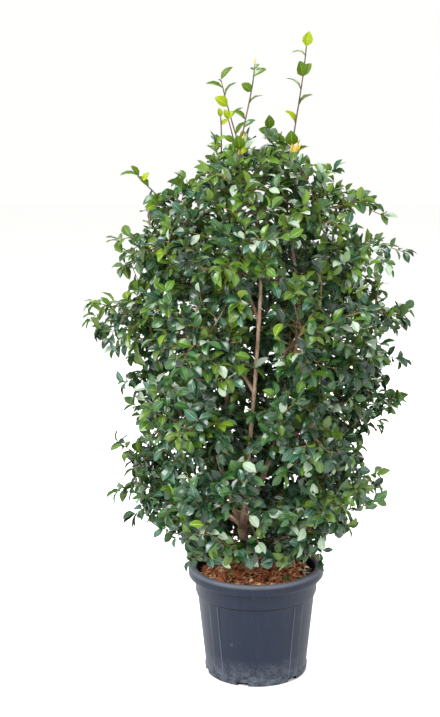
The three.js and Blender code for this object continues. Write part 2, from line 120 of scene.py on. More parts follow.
def add_node(tree, kind, settings=None, links=None):
    """Adds a node. Settings are its sockets, by name or number, or its properties. Links feed sockets."""
    node = tree.nodes.new(kind)
    for name, value in (settings or {}).items():
        if isinstance(name, int) or name in node.inputs:
            node.inputs[name].default_value = value
        else:
            setattr(node, name, value)
    for name, output in (links or {}).items():
        tree.links.new(output, node.inputs[name])
    return node


def add_place(tree):
    """Each point's place on its object, in metres, which every pattern is laid on."""
    return add_node(tree, "ShaderNodeTexCoord").outputs["Object"]


def add_noise(tree, place, size, detail, roughness=0.5):
    """Noise with features of about so many millimetres."""
    settings = {"Scale": PER_METRE / size, "Detail": detail, "Roughness": roughness}
    return add_node(tree, "ShaderNodeTexNoise", settings, {"Vector": place}).outputs["Fac"]


def add_range(tree, value, low, high, start=0.0, end=1.0):
    """A value that runs from start to end, turned into one that runs from low to high."""
    settings = {"From Min": start, "From Max": end, "To Min": low, "To Max": high}
    return add_node(tree, "ShaderNodeMapRange", settings, {"Value": value}).outputs["Result"]


def add_math(tree, operation, *values):
    """A sum with one value or two, each of them a node's output or a plain number."""
    settings, links = {"operation": operation}, {}
    for socket, value in enumerate(values):
        (settings if isinstance(value, float) else links)[socket] = value
    return add_node(tree, "ShaderNodeMath", settings, links).outputs[0]


def add_tones(tree, share, *tones):
    """A colour between two, each of them a node's output, a hex colour or a linear one."""
    settings, links = {"data_type": "RGBA"}, {0: share}
    for socket, tone in zip((6, 7), tones):
        if isinstance(tone, bpy.types.NodeSocket):
            links[socket] = tone
        else:
            settings[socket] = colour(tone) if isinstance(tone, str) else tone
    return add_node(tree, "ShaderNodeMix", settings, links).outputs[2]


def add_bump(tree, height, strength, distance):
    settings = {"Strength": strength, "Distance": distance}
    return add_node(tree, "ShaderNodeBump", settings, {"Height": height}).outputs["Normal"]


def new_material(name, settings):
    """A material with one Principled shader, whose constant values are set on its own sockets."""
    material = bpy.data.materials.new(name)
    material.use_nodes = True
    shader = material.node_tree.nodes["Principled BSDF"]
    for socket, value in settings.items():
        shader.inputs[socket].default_value = value
    return material, material.node_tree, shader


def feed(tree, shader, patterns):
    """Links each pattern to the shader's socket of that name."""
    for socket, output in patterns.items():
        tree.links.new(output, shader.inputs[socket])


print("mid green in linear light:", [round(c, 3) for c in colour("#2F6A3E")])

# %% [markdown]
# ## Floor and studio light
# The plant stands on a plain pale floor in a white studio. A white world gives the soft light from every
# side that lifts the greens and puts a pale sheen on the leaves. A large soft box, high on the left and
# in front, gives the form some shape, a weak one on the right fills the shadows, and one behind the crown
# lights the edges of the top shoots.

# %% Floor and light
FLOOR_SIZE = 24.0
FLOOR_DROP = 0.0005                   # keeps the floor just under the pot
FLOOR_PATTERN = PER_METRE / 0.12      # millimetres: the paint clouds over several metres

bpy.ops.object.select_all(action="DESELECT")
bpy.ops.mesh.primitive_plane_add(size=FLOOR_SIZE, location=(0, 0, -FLOOR_DROP))
floor = bpy.context.object
floor.name = "floor"
bpy.ops.object.transform_apply(location=True)
floor_material, tree, shader = new_material("matte_studio_paint", {"Roughness": 0.9})
clouding = add_noise(tree, add_place(tree), FLOOR_PATTERN, 2.0)
feed(tree, shader, {"Base Color": add_tones(tree, clouding, "#F9F9F7", "#FCFCFB")})
floor.data.materials.append(floor_material)

world = bpy.data.worlds.new("white_studio")
world.use_nodes = True
world.node_tree.nodes["Background"].inputs["Color"].default_value = (1.0, 1.0, 0.99, 1.0)
world.node_tree.nodes["Background"].inputs["Strength"].default_value = 1.0
bpy.context.scene.world = world
bpy.context.scene.view_settings.view_transform = "Standard"

SOFT_BOXES = {
    "key": {"place": (-2.2, -2.6, 3.4), "aim": (0, 0, 0.8), "size": 2.4, "watts": 300},
    "fill": {"place": (2.4, -2.8, 1.7), "aim": (0, 0, 0.6), "size": 2.2, "watts": 45},
    "back": {"place": (0.9, 2.8, 3.6), "aim": (0, 0, 1.0), "size": 3.0, "watts": 230},
}
for name, box in SOFT_BOXES.items():
    light = bpy.data.lights.new(name, "AREA")
    light.shape = "SQUARE"
    light.size = box["size"]
    light.energy = box["watts"]
    lamp = bpy.data.objects.new(name, light)
    lamp.location = box["place"]
    away = lamp.location - type(lamp.location)(box["aim"])
    lamp.rotation_euler = away.to_track_quat("Z", "Y").to_euler()
    bpy.context.scene.collection.objects.link(lamp)
print("soft boxes:", ", ".join(SOFT_BOXES))

# %% [markdown]
# ## The pot
# The pot is injection-moulded polypropylene. Its wall tapers, widens at a small step into a plain collar,
# and ends in a rolled rim. Four broad ribs run up the wall, with shallow panels between them, and six
# drain notches are cut in the foot. It could be turned from a drawn section, but pulling each band of the
# wall up from a disc keeps the sizes next to the steps they make: extrude, then widen or narrow.

# %% Pot: pull the wall up from a disc
POT_SIDES = 192
POT_HEIGHT = 0.271
PANEL_FOOT = 0.014
PANEL_TOP = 0.199
POT_SECTION = [                       # radius and height of each ring, up the outside and down the inside
    (0.1235, 0.0000), (0.1252, 0.0006), (0.1258, 0.0022), (0.1271, PANEL_FOOT), (0.1309, 0.050),
    (0.1361, 0.100), (0.1414, 0.150), (0.1465, PANEL_TOP), (0.1470, 0.2040), (0.1486, 0.2055),
    (0.1495, 0.2075), (0.1508, 0.2425), (0.1560, 0.2437), (0.1640, 0.2452), (0.1660, 0.2480),
    (0.1665, 0.2520), (0.1665, 0.2640), (0.1656, 0.2675), (0.1636, 0.2700), (0.1605, 0.2710),
    (0.1515, 0.2700), (0.1480, 0.2685), (0.1463, 0.2660), (0.1456, 0.2610), (0.1384, 0.1950),
    (0.1190, 0.0040),
]


def deselect_all():
    if bpy.context.object and bpy.context.object.mode != "OBJECT":
        bpy.ops.object.mode_set(mode="OBJECT")
    bpy.ops.object.select_all(action="DESELECT")


def make_active(thing):
    """Selects one object alone, for the tools that work on the active one."""
    deselect_all()
    thing.select_set(True)
    bpy.context.view_layer.objects.active = thing


deselect_all()
bpy.ops.mesh.primitive_circle_add(
    vertices=POT_SIDES, radius=POT_SECTION[0][0], fill_type="NGON", location=(0, 0, 0),
)
pot = bpy.context.object
pot.name = "nursery_pot"
bpy.ops.object.mode_set(mode="EDIT")
for (radius, height), (next_radius, next_height) in zip(POT_SECTION, POT_SECTION[1:]):
    bpy.ops.mesh.extrude_region_move(TRANSFORM_OT_translate={"value": (0, 0, next_height - height)})
    scale = next_radius / radius
    bpy.ops.transform.resize(value=(scale, scale, 1), center_override=(0, 0, next_height))
bpy.ops.mesh.select_all(action="SELECT")
bpy.ops.mesh.normals_make_consistent(inside=False)
bpy.ops.object.mode_set(mode="OBJECT")
print("pot wall:", len(pot.data.polygons), "faces,", round(pot.dimensions.z, 4), "m tall")

# %% [markdown]
# The four panels are the parts of the wall between the ribs. Each is a patch of faces, chosen by its
# height and by its angle round the pot, then inset with a little depth, which gives it the sloping border
# of a moulded recess.

# %% Pot: sink the panels
RIB_TURNS = (45, 135, 225, 315)       # degrees
RIB_HALF_WIDTH = 5.3                  # degrees either side of a rib's middle
PANEL_DEPTH = 0.0024
PANEL_BORDER = 0.0035                 # width of the slope round a panel
MID_WALL = (0.1245, 0.095)            # a cone between the wall's faces: radius at the foot, and slope


def turn_of(point):
    return math.degrees(math.atan2(point[1], point[0])) % 360


def turn_apart(a, b):
    return abs((a - b + 180) % 360 - 180)


for rib in RIB_TURNS:
    make_active(pot)
    bpy.ops.object.mode_set(mode="EDIT")
    bpy.ops.mesh.select_mode(type="FACE")
    bpy.ops.mesh.select_all(action="DESELECT")
    bpy.ops.object.mode_set(mode="OBJECT")
    middle = rib + 45
    half = 45 - RIB_HALF_WIDTH
    for face in pot.data.polygons:
        height = face.center.z
        across = math.hypot(face.center.x, face.center.y)
        outside = across > MID_WALL[0] + MID_WALL[1] * height
        on_wall = PANEL_FOOT < height < PANEL_TOP and outside
        face.select = on_wall and turn_apart(turn_of(face.center), middle) < half
    bpy.ops.object.mode_set(mode="EDIT")
    bpy.ops.mesh.inset(thickness=PANEL_BORDER, depth=-PANEL_DEPTH, use_boundary=True, use_even_offset=True)
    bpy.ops.object.mode_set(mode="OBJECT")
print("panels sunk by", PANEL_DEPTH * 1000, "mm")

# %% [markdown]
# The drain notches are cut with six blocks joined into one cutter, and a narrow bevel takes the sharpness
# off the moulded edges so that they catch the light.

# %% Pot: cut the drain notches and soften the edges
NOTCHES = 6
NOTCH_TURN = 15                       # degrees, the first notch
NOTCH_RADIUS = 0.1255                 # of the circle that the blocks are centred on
NOTCH_SIZE = (0.022, 0.028, 0.018)    # in towards the middle, along the foot, and up and down
NOTCH_EDGE = 0.1243                   # just inside the wall's outer face at the foot
EDGE_WIDTH = 0.0006
EDGE_ANGLE = math.radians(34)         # edges sharper than this are softened

deselect_all()
cutters = []
for k in range(NOTCHES):
    angle = math.radians(NOTCH_TURN + 360 / NOTCHES * k)
    place = (NOTCH_RADIUS * math.cos(angle), NOTCH_RADIUS * math.sin(angle), 0)
    bpy.ops.mesh.primitive_cube_add(size=1, location=place, rotation=(0, 0, angle))
    cutter = bpy.context.object
    cutter.scale = NOTCH_SIZE
    bpy.ops.object.transform_apply(location=True, rotation=True, scale=True)
    cutters.append(cutter)
for cutter in cutters:
    cutter.select_set(True)
bpy.context.view_layer.objects.active = cutters[0]
bpy.ops.object.join()
cutter = cutters[0]

make_active(pot)
notches = pot.modifiers.new("notches", "BOOLEAN")
notches.object = cutter
notches.operation = "DIFFERENCE"
bpy.ops.object.modifier_apply(modifier="notches")
bpy.data.objects.remove(cutter)
soft_edges = pot.modifiers.new("soft_edges", "BEVEL")
soft_edges.width = EDGE_WIDTH
soft_edges.segments = 2
soft_edges.limit_method = "ANGLE"
soft_edges.angle_limit = EDGE_ANGLE
bpy.ops.object.modifier_apply(modifier="soft_edges")
bpy.ops.object.shade_smooth_by_angle(angle=EDGE_ANGLE)
print("pot:", len(pot.data.polygons), "faces")

# %% [markdown]
# Polypropylene moulded in a slate grey is smooth but not shiny, and one that has stood in a nursery has
# dust dried on it, thickest round the foot where water splashes. The colour mixes slate with dust by
# height and by blotches, and fine streaks run up the wall as the melt flowed. Handling has left a few
# scuffs. The pale band on the rim's top is partly wear from handling and partly a painted highlight,
# and the thin pale line along each edge of the ribs is a painted highlight. Dark bands just under the
# collar's step and under the rim are painted shade, and the dust is rougher than the plastic. The
# wall's inner side and the hollows of the notches are painted near black as shade, in a second finish.
# Patterns are sized in millimetres: blotches of about 25 mm broken up by specks of 4 mm, and grain of
# 1.2 mm, coarser than the true one so that it shows.

# %% Pot: slate polypropylene with dried dust
LEDGES = (0.2034, 0.2424)             # heights just under the collar's step and the rim, where a dark band of painted shade lies
RIB_EDGE = 0.0135 * math.sqrt(2)      # x less y, signs aside, at a rib's edge 13.5 mm off its middle

pot_material, tree, shader = new_material(
    "moulded_polypropylene_dusty", {"IOR": 1.49, "Specular IOR Level": 0.16},
)
place = add_place(tree)
axes = add_node(tree, "ShaderNodeSeparateXYZ", None, {"Vector": place}).outputs
stretched = add_node(tree, "ShaderNodeMapping", {"Scale": (1, 1, 0.06)}, {"Vector": place}).outputs["Vector"]
streaks = add_noise(tree, stretched, 9, 4.0, 0.6)
grain = add_noise(tree, place, 1.2, 2.0)
patchy = add_math(tree, "ADD", add_noise(tree, place, 25, 5.0, 0.62), add_noise(tree, place, 4, 5.0, 0.75))

foot_dust = add_range(tree, axes["Z"], 0.0, 0.62, start=0.068, end=0.0)
dust_edge = add_range(tree, patchy, 0.10, 1.0, start=0.88, end=1.16)
dust_low = add_math(tree, "MULTIPLY", foot_dust, dust_edge)
scuffs = add_range(tree, patchy, 0.0, 0.5, start=1.22, end=1.34)
# The rim's top is paler: partly wear from handling, partly a painted highlight.
rim_wear_and_highlight = add_range(tree, axes["Z"], 0.0, 0.75, start=0.262, end=POT_HEIGHT)
# Painted highlight: a thin pale line along each edge of the ribs, below the collar, where the bevels would
# catch the light.
sideways, onwards = (add_math(tree, "ABSOLUTE", axes[axis]) for axis in "XY")
from_rib = add_math(tree, "ABSOLUTE", add_math(tree, "SUBTRACT", sideways, onwards))
edge_apart = add_math(tree, "ABSOLUTE", add_math(tree, "SUBTRACT", from_rib, RIB_EDGE))
rib_edge_highlight_strength = add_range(tree, edge_apart, 0.0, 0.42, start=0.0016, end=0.0004)
below_collar = add_range(tree, axes["Z"], 0.0, 1.0, start=PANEL_TOP + 0.002, end=PANEL_TOP - 0.002)
painted_rib_edge_highlight = add_math(tree, "MULTIPLY", rib_edge_highlight_strength, below_collar)
# The strongest of the dust, the scuffs, the painted rib-edge highlight and the rim's partly painted pale
# band.
dust_wear_and_highlight = dust_low
for wear_and_highlight_mark in (scuffs, painted_rib_edge_highlight, rim_wear_and_highlight):
    dust_wear_and_highlight = add_math(tree, "MAXIMUM", dust_wear_and_highlight, wear_and_highlight_mark)

pot_tone = add_tones(tree, dust_wear_and_highlight, add_tones(tree, streaks, "#161C28", "#222939"), "#72767F")
# Painted shade: a near-black band just under the collar's step and under the rim, where the ledges shade the
# wall.
for ledge in LEDGES:
    apart = add_math(tree, "ABSOLUTE", add_math(tree, "SUBTRACT", axes["Z"], ledge))
    painted_shade_band = add_range(tree, apart, 0.0, 0.75, start=0.0030, end=0.0010)
    pot_tone = add_tones(tree, painted_shade_band, pot_tone, "#0A0D13")
relief = add_node(tree, "ShaderNodeMix", {"data_type": "FLOAT", 0: 0.3}, {2: streaks, 3: grain}).outputs[0]
feed(tree, shader, {
    "Base Color": pot_tone,
    "Roughness": add_range(tree, dust_wear_and_highlight, 0.46, 0.85),
    "Normal": add_bump(tree, relief, 0.25, 0.0012),
})

# Painted shade: a near-black finish on the wall's inner side and in the hollows of the notches, which lie in
# shade.
painted_shade_inside_material, tree, shader = new_material(
    "polypropylene_painted_shade_inside", {"Specular IOR Level": 0.1},
)
shade_speckle = add_noise(tree, add_place(tree), 4, 3.0)
feed(tree, shader, {
    "Base Color": add_tones(tree, shade_speckle, "#050506", "#141416"),
    "Roughness": add_range(tree, shade_speckle, 0.7, 0.95),
})
pot.data.materials.clear()
pot.data.materials.append(pot_material)
pot.data.materials.append(painted_shade_inside_material)
# Faces in the notches and on the wall's inner side take the painted shade.
for face in pot.data.polygons:
    across = math.hypot(face.center.x, face.center.y)
    in_notch = 0.0001 < face.center.z < NOTCH_SIZE[2] / 2 + 0.0005 and across < NOTCH_EDGE
    inner_wall = face.normal.xy.dot(face.center.xy) < -0.5 * across and 0.01 < face.center.z < 0.262
    face.material_index = int(in_notch or inner_wall)
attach(pot, "root")
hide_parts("pot")
print("pot finish:", pot_material.name)

# %% [markdown]
# ## Joined meshes
# Bark chips, twigs and leaves come in hundreds and thousands. Each kind is modelled once, in numbers, and
# every copy goes into one joined mesh with its own points. A small gatherer keeps the points, faces and
# material numbers until the mesh is made.

# %% The gatherer
SMOOTH_ANGLE = math.radians(50)


def gather(points, faces, tints, piece):
    """Adds copies to a piece: points (copies, n, 3), faces as rows of point numbers, a tint per face."""
    copies, count, _ = points.shape
    start = sum(len(batch) for batch in piece["points"])
    piece["points"].append(points.reshape(-1, 3))
    for copy in range(copies):
        shift = start + copy * count
        piece["faces"].extend([tuple(number + shift for number in face) for face in faces])
    if np.ndim(tints) == 1:
        tints = np.tile(tints, (copies, 1))
    piece["tints"].append(np.asarray(tints).reshape(-1))


def new_piece():
    return {"points": [], "faces": [], "tints": []}


def build(name, piece, materials, nodes=(), smooth=True):
    """Makes the joined mesh, and says what it rides on, replaces and takes its finish from."""
    mesh = bpy.data.meshes.new(name)
    mesh.from_pydata(np.concatenate(piece["points"]), [], piece["faces"])
    for material in materials:
        mesh.materials.append(material)
    mesh.polygons.foreach_set("material_index", np.concatenate(piece["tints"]).astype(np.int32))
    made = bpy.data.objects.new(name, mesh)
    bpy.context.scene.collection.objects.link(made)
    make_active(made)
    if smooth:
        bpy.ops.object.shade_smooth_by_angle(angle=SMOOTH_ANGLE)
    mesh.validate()
    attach(made, "root")
    if nodes:
        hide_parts(*nodes)
    triangles = sum(len(face) - 2 for face in piece["faces"])
    print(f"{name}: {triangles} triangles")
    return made


# %% [markdown]
# ## The potting bark
# The pot is filled with shredded bark, to 17 mm below its rim in the middle and 30 mm at the wall:
# red-brown chips, paler where they are split and dark in the gaps. A bed with rough relief closes the
# pot, and loose chips lie on it at every angle. The bed starts as a circle that is inset again and again,
# which gives it rings to shape, and two displacements make it uneven.

# %% Bark bed
BED_RADIUS = 0.1425
BED_EDGE = 0.2405
BED_TOP = 0.2540
BED_DEPTH = 0.06
BED_RINGS = 26
BED_RING_WIDTH = 0.00525


def bed_height(across):
    """Height of the bark's surface at a distance from the middle of the pot."""
    return BED_EDGE + (BED_TOP - BED_EDGE) * (0.5 + 0.5 * math.cos(math.pi * min(1.0, across / BED_RADIUS)))


deselect_all()
bpy.ops.mesh.primitive_circle_add(vertices=96, radius=BED_RADIUS, fill_type="NGON", location=(0, 0, BED_EDGE))
bed = bpy.context.object
bed.name = "bark_bed"
bpy.ops.object.transform_apply(location=True)
bpy.ops.object.mode_set(mode="EDIT")
bpy.ops.mesh.extrude_region_move(TRANSFORM_OT_translate={"value": (0, 0, -BED_DEPTH)})
bpy.ops.transform.resize(value=(0.94, 0.94, 1), center_override=(0, 0, 0))
bpy.ops.mesh.select_all(action="SELECT")
bpy.ops.mesh.normals_make_consistent(inside=False)
bpy.ops.mesh.select_mode(type="FACE")
bpy.ops.object.mode_set(mode="OBJECT")
for face in bed.data.polygons:
    face.select = face.normal.z > 0.9
bpy.ops.object.mode_set(mode="EDIT")
for _ in range(BED_RINGS):
    bpy.ops.mesh.inset(thickness=BED_RING_WIDTH)
bpy.ops.object.mode_set(mode="OBJECT")
for vertex in bed.data.vertices:
    if vertex.co.z > BED_EDGE - 0.001:
        vertex.co.z = bed_height(math.hypot(vertex.co.x, vertex.co.y))
surface = bed.vertex_groups.new(name="surface")
on_top = [v for v in bed.data.vertices if v.co.z > BED_EDGE - 0.001]
surface.add([v.index for v in on_top if v.co.xy.length < BED_RADIUS - 0.002], 1.0, "REPLACE")
for name, size, height in (("heaps", 0.022, 0.007), ("crumbs", 0.005, 0.004)):
    lumps = bpy.data.textures.new(name, "CLOUDS")
    lumps.noise_scale = size
    lumps.noise_depth = 3
    push = bed.modifiers.new(name, "DISPLACE")
    push.texture = lumps
    push.strength = height
    push.mid_level = 0.6
    push.vertex_group = "surface"
    bpy.ops.object.modifier_apply(modifier=name)
bpy.ops.object.shade_smooth_by_angle(angle=SMOOTH_ANGLE)

# The bed is very dark: partly moist bark fines, partly painted shade for the deep gaps between the chips.
bed_material, tree, shader = new_material("bark_fines_moist_and_painted_gap_shade", {"Roughness": 0.95, "Specular IOR Level": 0.2})
crumbs = add_noise(tree, add_place(tree), 5, 6.0)
feed(tree, shader, {
    "Base Color": add_tones(tree, crumbs, "#170D09", "#5E3826"),
    "Normal": add_bump(tree, crumbs, 0.8, 0.002),
})
bed.data.materials.append(bed_material)
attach(bed, "root")
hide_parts("potting_bark")
print("bark bed:", len(bed.data.polygons), "faces")

# %% [markdown]
# A chip is a splinter: long, flat, and thinner at its ends. Six corners above and six below give it an
# uneven outline. The chips are dealt over the bed with a square-root spacing, so that they lie evenly
# from the middle to the edge, and each is tipped and turned by chance.

# %% Loose bark chips
chance = np.random.default_rng(20)
CHIP_OUTLINE = np.array([[-1, 0.1], [-0.5, -0.9], [0.45, -1], [1, -0.2], [0.55, 0.8], [-0.4, 1]])
CHIP_COLOURS = ["#D08A5E", "#9C5A3A", "#ECC6A0", "#4C2A1C", "#BC7046"]
CHIP_SHARES = [0.26, 0.22, 0.14, 0.22, 0.16]                  # how many chips have each colour


def chip_points(count, long, wide, thick, tilt):
    """Points of many chips, each with its own size, tilt, turn and place on the bed."""
    length = chance.uniform(*long, count) / 2
    width = chance.uniform(*wide, count) / 2
    depth = chance.uniform(*thick, count) / 2
    flat = CHIP_OUTLINE[None] * (1 + chance.normal(0, 0.16, (count, 6, 2)))
    top = np.zeros((count, 6, 3))
    top[..., 0] = flat[..., 0] * length[:, None]
    top[..., 1] = flat[..., 1] * width[:, None]
    top[..., 2] = depth[:, None]
    low = top * [0.94, 0.9, -1]
    points = np.concatenate([top, low], axis=1)
    points[..., 2] += 0.12 * points[..., 0] ** 2 / length[:, None] * chance.normal(0, 1, (count, 1))
    pitch = chance.normal(0, tilt, count)
    roll = chance.normal(0, tilt, count)
    yaw = chance.uniform(0, 2 * math.pi, count)
    points = turned(points, pitch, (0, 2))
    points = turned(points, roll, (1, 2))
    points = turned(points, yaw, (0, 1))
    across = (BED_RADIUS - 0.006) * np.sqrt(chance.uniform(0, 1, count))
    round_pot = chance.uniform(0, 2 * math.pi, count)
    lift = np.array([bed_height(a) for a in across]) + chance.uniform(0.0, 0.006, count)
    centre = np.stack([across * np.cos(round_pot), across * np.sin(round_pot), lift], axis=1)
    return points + centre[:, None]


def turned(points, angles, plane):
    """Points of each copy turned by its own angle in one plane, given by two axis numbers."""
    a, b = plane
    result = points.copy()
    cos, sin = np.cos(angles)[:, None], np.sin(angles)[:, None]
    result[..., a] = points[..., a] * cos - points[..., b] * sin
    result[..., b] = points[..., a] * sin + points[..., b] * cos
    return result


CHIP_FACES = [(0, 1, 2, 3, 4, 5), (11, 10, 9, 8, 7, 6)]
CHIP_FACES += [(k, k + 6, (k + 1) % 6 + 6, (k + 1) % 6) for k in range(6)]


def bark_chip_material(name, tone):
    material, tree, shader = new_material(name, {"Roughness": 0.82, "Specular IOR Level": 0.25})
    fibre = add_noise(tree, add_place(tree), 2.5, 3.0)
    dark = [c * 0.6 for c in colour(tone)[:3]] + [1.0]
    light = [min(1.0, c * 1.5) for c in colour(tone)[:3]] + [1.0]
    feed(tree, shader, {
        "Base Color": add_tones(tree, fibre, dark, light),
        "Normal": add_bump(tree, fibre, 0.6, 0.0008),
    })
    return material


chips = new_piece()
for count, *sizes in (                # how many, then length, width, thickness and tilt
    (1500, (0.008, 0.022), (0.0030, 0.0068), (0.0010, 0.0026), 0.55),
    (320, (0.018, 0.034), (0.0055, 0.0110), (0.0018, 0.0036), 0.38),
    (700, (0.012, 0.030), (0.0009, 0.0018), (0.0006, 0.0014), 0.50),
):
    tints = chance.choice(len(CHIP_COLOURS), count, p=CHIP_SHARES)
    tints = np.repeat(tints[:, None], len(CHIP_FACES), axis=1)
    gather(chip_points(count, *sizes), CHIP_FACES, tints, chips)
chip_materials = [bark_chip_material(f"split_bark_{k + 1}", tone) for k, tone in enumerate(CHIP_COLOURS)]
build("bark_chips", chips, chip_materials, smooth=False)

# %% [markdown]
# ## Limbs: the same curves as the solids
# The trunk, stems and boughs follow smooth curves between named points, and the solids follow the same
# ones. Each curve is measured along its own length, so that half-way along is half-way in millimetres
# too. The sizes below are in metres.

# %% Curves measured along their length
UP = np.array([0.0, 0.0, 1.0])


def unit(vector):
    return vector / np.linalg.norm(vector)


class Path:
    """A smooth curve with four corner points, read by its share of the length, from 0 to 1."""

    def __init__(self, *corners):
        self.corners = np.array(corners, float)
        self.raw = np.linspace(0, 1, 201)
        steps = np.diff(self.bend(self.raw), axis=0)
        self.lengths = np.concatenate([[0.0], np.cumsum(np.linalg.norm(steps, axis=1))])

    def bend(self, raw):
        raw = np.asarray(raw, float)[..., None]
        a, b, c, d = self.corners
        return a * (1 - raw) ** 3 + b * 3 * raw * (1 - raw) ** 2 + c * 3 * raw ** 2 * (1 - raw) + d * raw ** 3

    def share(self, t):
        return np.interp(np.asarray(t) * self.lengths[-1], self.lengths, self.raw)

    def at(self, t):
        return self.bend(self.share(t))

    def heading(self, t):
        raw = self.share(t)
        step = 1e-4
        return unit(self.bend(min(1.0, raw + step)) - self.bend(max(0.0, raw - step)))


def curve_between(start, start_heading, end, end_heading, pull=0.38):
    reach = np.linalg.norm(end - start) * pull
    return Path(start, start + start_heading * reach, end - end_heading * reach, end)


def polar(turn, reach, height):
    angle = math.radians(turn)
    return np.array([math.cos(angle) * reach, math.sin(angle) * reach, height])


print("a straight path, a third along:", Path((0, 0, 0), (0, 0, 1), (0, 0, 2), (0, 0, 3)).at(1 / 3))

# %% [markdown]
# The named sizes repeat those of the solids: where the trunk forks, how each stem rises by way of its
# belly, the tiers of side masses, and the tips of the top ones.

# %% Sizes of the plant
TRUNK = {
    "foot": (-0.014, 0.0, 0.2563), "fork": (-0.036, -0.008, 0.362),
    "flare": 0.019, "radius": 0.0105, "fork_radius": 0.0096, "flare_height": 0.030,
}
STEM_TIP_RADIUS = 0.0033
STEMS = {
    "front": {
        "start": 0.97, "belly": (0, -0.178, 0.800), "foot": (0.012, -0.118, 1.062), "radius": 0.0060,
    },
    "right": {
        "start": 0.99, "belly": (0.084, -0.066, 0.760), "foot": (0.082, -0.040, 1.060), "radius": 0.0066,
    },
    "back_right": {
        "start": 0.86, "belly": (0.080, 0.104, 0.740), "foot": (0.046, 0.076, 1.066), "radius": 0.0058,
    },
    "back_left": {
        "start": 0.92, "belly": (-0.076, 0.112, 0.740), "foot": (-0.054, 0.078, 1.060), "radius": 0.0058,
    },
    "left": {
        "start": 0.95, "belly": (-0.128, -0.034, 0.740), "foot": (-0.120, -0.022, 1.040), "radius": 0.0062,
    },
}
TOPS = {                              # where each spine ends, and where its long shoots leave it and end
    "front": {"tip": (-0.034, -0.092, 1.212), "shoots": {
        "middle": ((-0.030, -0.095, 1.195), (-0.005, -0.062, 1.450)),
        "left": ((0.012, -0.118, 1.062), (-0.076, 0.010, 1.418)),
        "lime": ((-0.010, -0.110, 1.120), (-0.063, -0.040, 1.349)),
    }},
    "right": {"tip": (0.138, -0.060, 1.160), "shoots": {
        "tall": ((0.082, -0.040, 1.060), (0.114, -0.024, 1.512)),
        "side": ((0.120, -0.050, 1.130), (0.240, -0.060, 1.172)),
    }},
    "back_right": {"tip": (0.105, 0.110, 1.165), "shoots": {
        "short": ((0.044, 0.070, 1.100), (0.032, 0.052, 1.323)),
    }},
    "back_left": {"tip": (-0.090, 0.110, 1.190), "shoots": {
        "thin": ((-0.070, 0.085, 1.130), (-0.083, 0.060, 1.350)),
    }},
    "left": {"tip": (-0.168, -0.034, 1.120), "shoots": {
        "outer": ((-0.150, -0.034, 1.090), (-0.272, -0.044, 1.222)),
    }},
}
TIERS = {
    "skirt": {"height": 0.388, "left": 0.238, "right": 0.240, "depth": 0.240, "rise": 0.055,
              "turns": (-142, -36, 88)},
    "low": {"height": 0.486, "left": 0.342, "right": 0.322, "depth": 0.320, "rise": 0.120,
            "turns": (176, -116, -42, 30, 102)},
    "middle": {"height": 0.678, "left": 0.342, "right": 0.348, "depth": 0.345, "rise": 0.150,
               "turns": (10, 82, 152, -136, -62)},
    "wide": {"height": 0.904, "left": 0.378, "right": 0.378, "depth": 0.350, "rise": 0.170,
             "turns": (179, 112, 60, -2, -64, -116)},
    "shoulder": {"height": 1.052, "left": 0.360, "right": 0.316, "depth": 0.318, "rise": 0.150,
                 "turns": (-12, 72, 164, -102)},
}
FIRST_SEED = 2                        # of the first mass; each next mass has the next number
BOUGH_SHARE = 0.44                    # how much of a side mass's reach its bough spans
BOUGH_TIP_RADIUS = 0.0032
SPRAY_LENGTH = 0.104
SPRAY_WIDTH = 0.074
CLEARANCE = 0.0003                    # the gap that the solids keep between a bough's tip and its mass

# %% [markdown]
# Each limb is kept with its curve and its radius along it. A bough leaves the nearest stem a little below
# its mass and sweeps up and out. The mass's spine carries on from the bough's tip.

# %% Lay the limbs and the spines
limbs = []


def add_limb(name, path, radius_at):
    line = path.at(np.linspace(0, 1, 9))
    limbs.append({"name": name, "path": path, "radius_at": radius_at, "line": line})
    return limbs[-1]


def taper(root, tip):
    return lambda t: root + (tip - root) * t


trunk_foot, trunk_fork = np.array(TRUNK["foot"]), np.array(TRUNK["fork"])
trunk_path = curve_between(trunk_foot, UP, trunk_fork, unit(trunk_fork - trunk_foot))
trunk_height = trunk_fork[2] - trunk_foot[2]


def trunk_radius(t):
    flare = max(0.0, 1 - t * trunk_height / TRUNK["flare_height"]) ** 2
    return taper(TRUNK["radius"], TRUNK["fork_radius"])(t) + (TRUNK["flare"] - TRUNK["radius"]) * flare


trunk = add_limb("trunk", trunk_path, trunk_radius)

stems = []
for name, stem in STEMS.items():
    start = trunk_path.at(stem["start"])
    foot = np.array(stem["foot"])
    pull = 2 * np.array(stem["belly"]) - 0.5 * start - 0.5 * foot
    path = Path(start, start + (pull - start) * 2 / 3, foot + (pull - foot) * 2 / 3, foot)
    stems.append(add_limb(f"stem_{name}", path, taper(stem["radius"], STEM_TIP_RADIUS)))


def nearest_stem(turn, height):
    """The stem, and the share along it, that is nearest to a place 100 mm out on that side at that height."""
    wanted = polar(turn, 0.1, height)
    best = None
    for stem in stems:
        for k in range(41):
            point = stem["path"].at(k / 40)
            apart = abs(point[2] - height) * 2 + math.hypot(point[0] - wanted[0], point[1] - wanted[1])
            if best is None or apart < best[2]:
                best = (stem, k / 40, apart)
    return best[0], best[1]


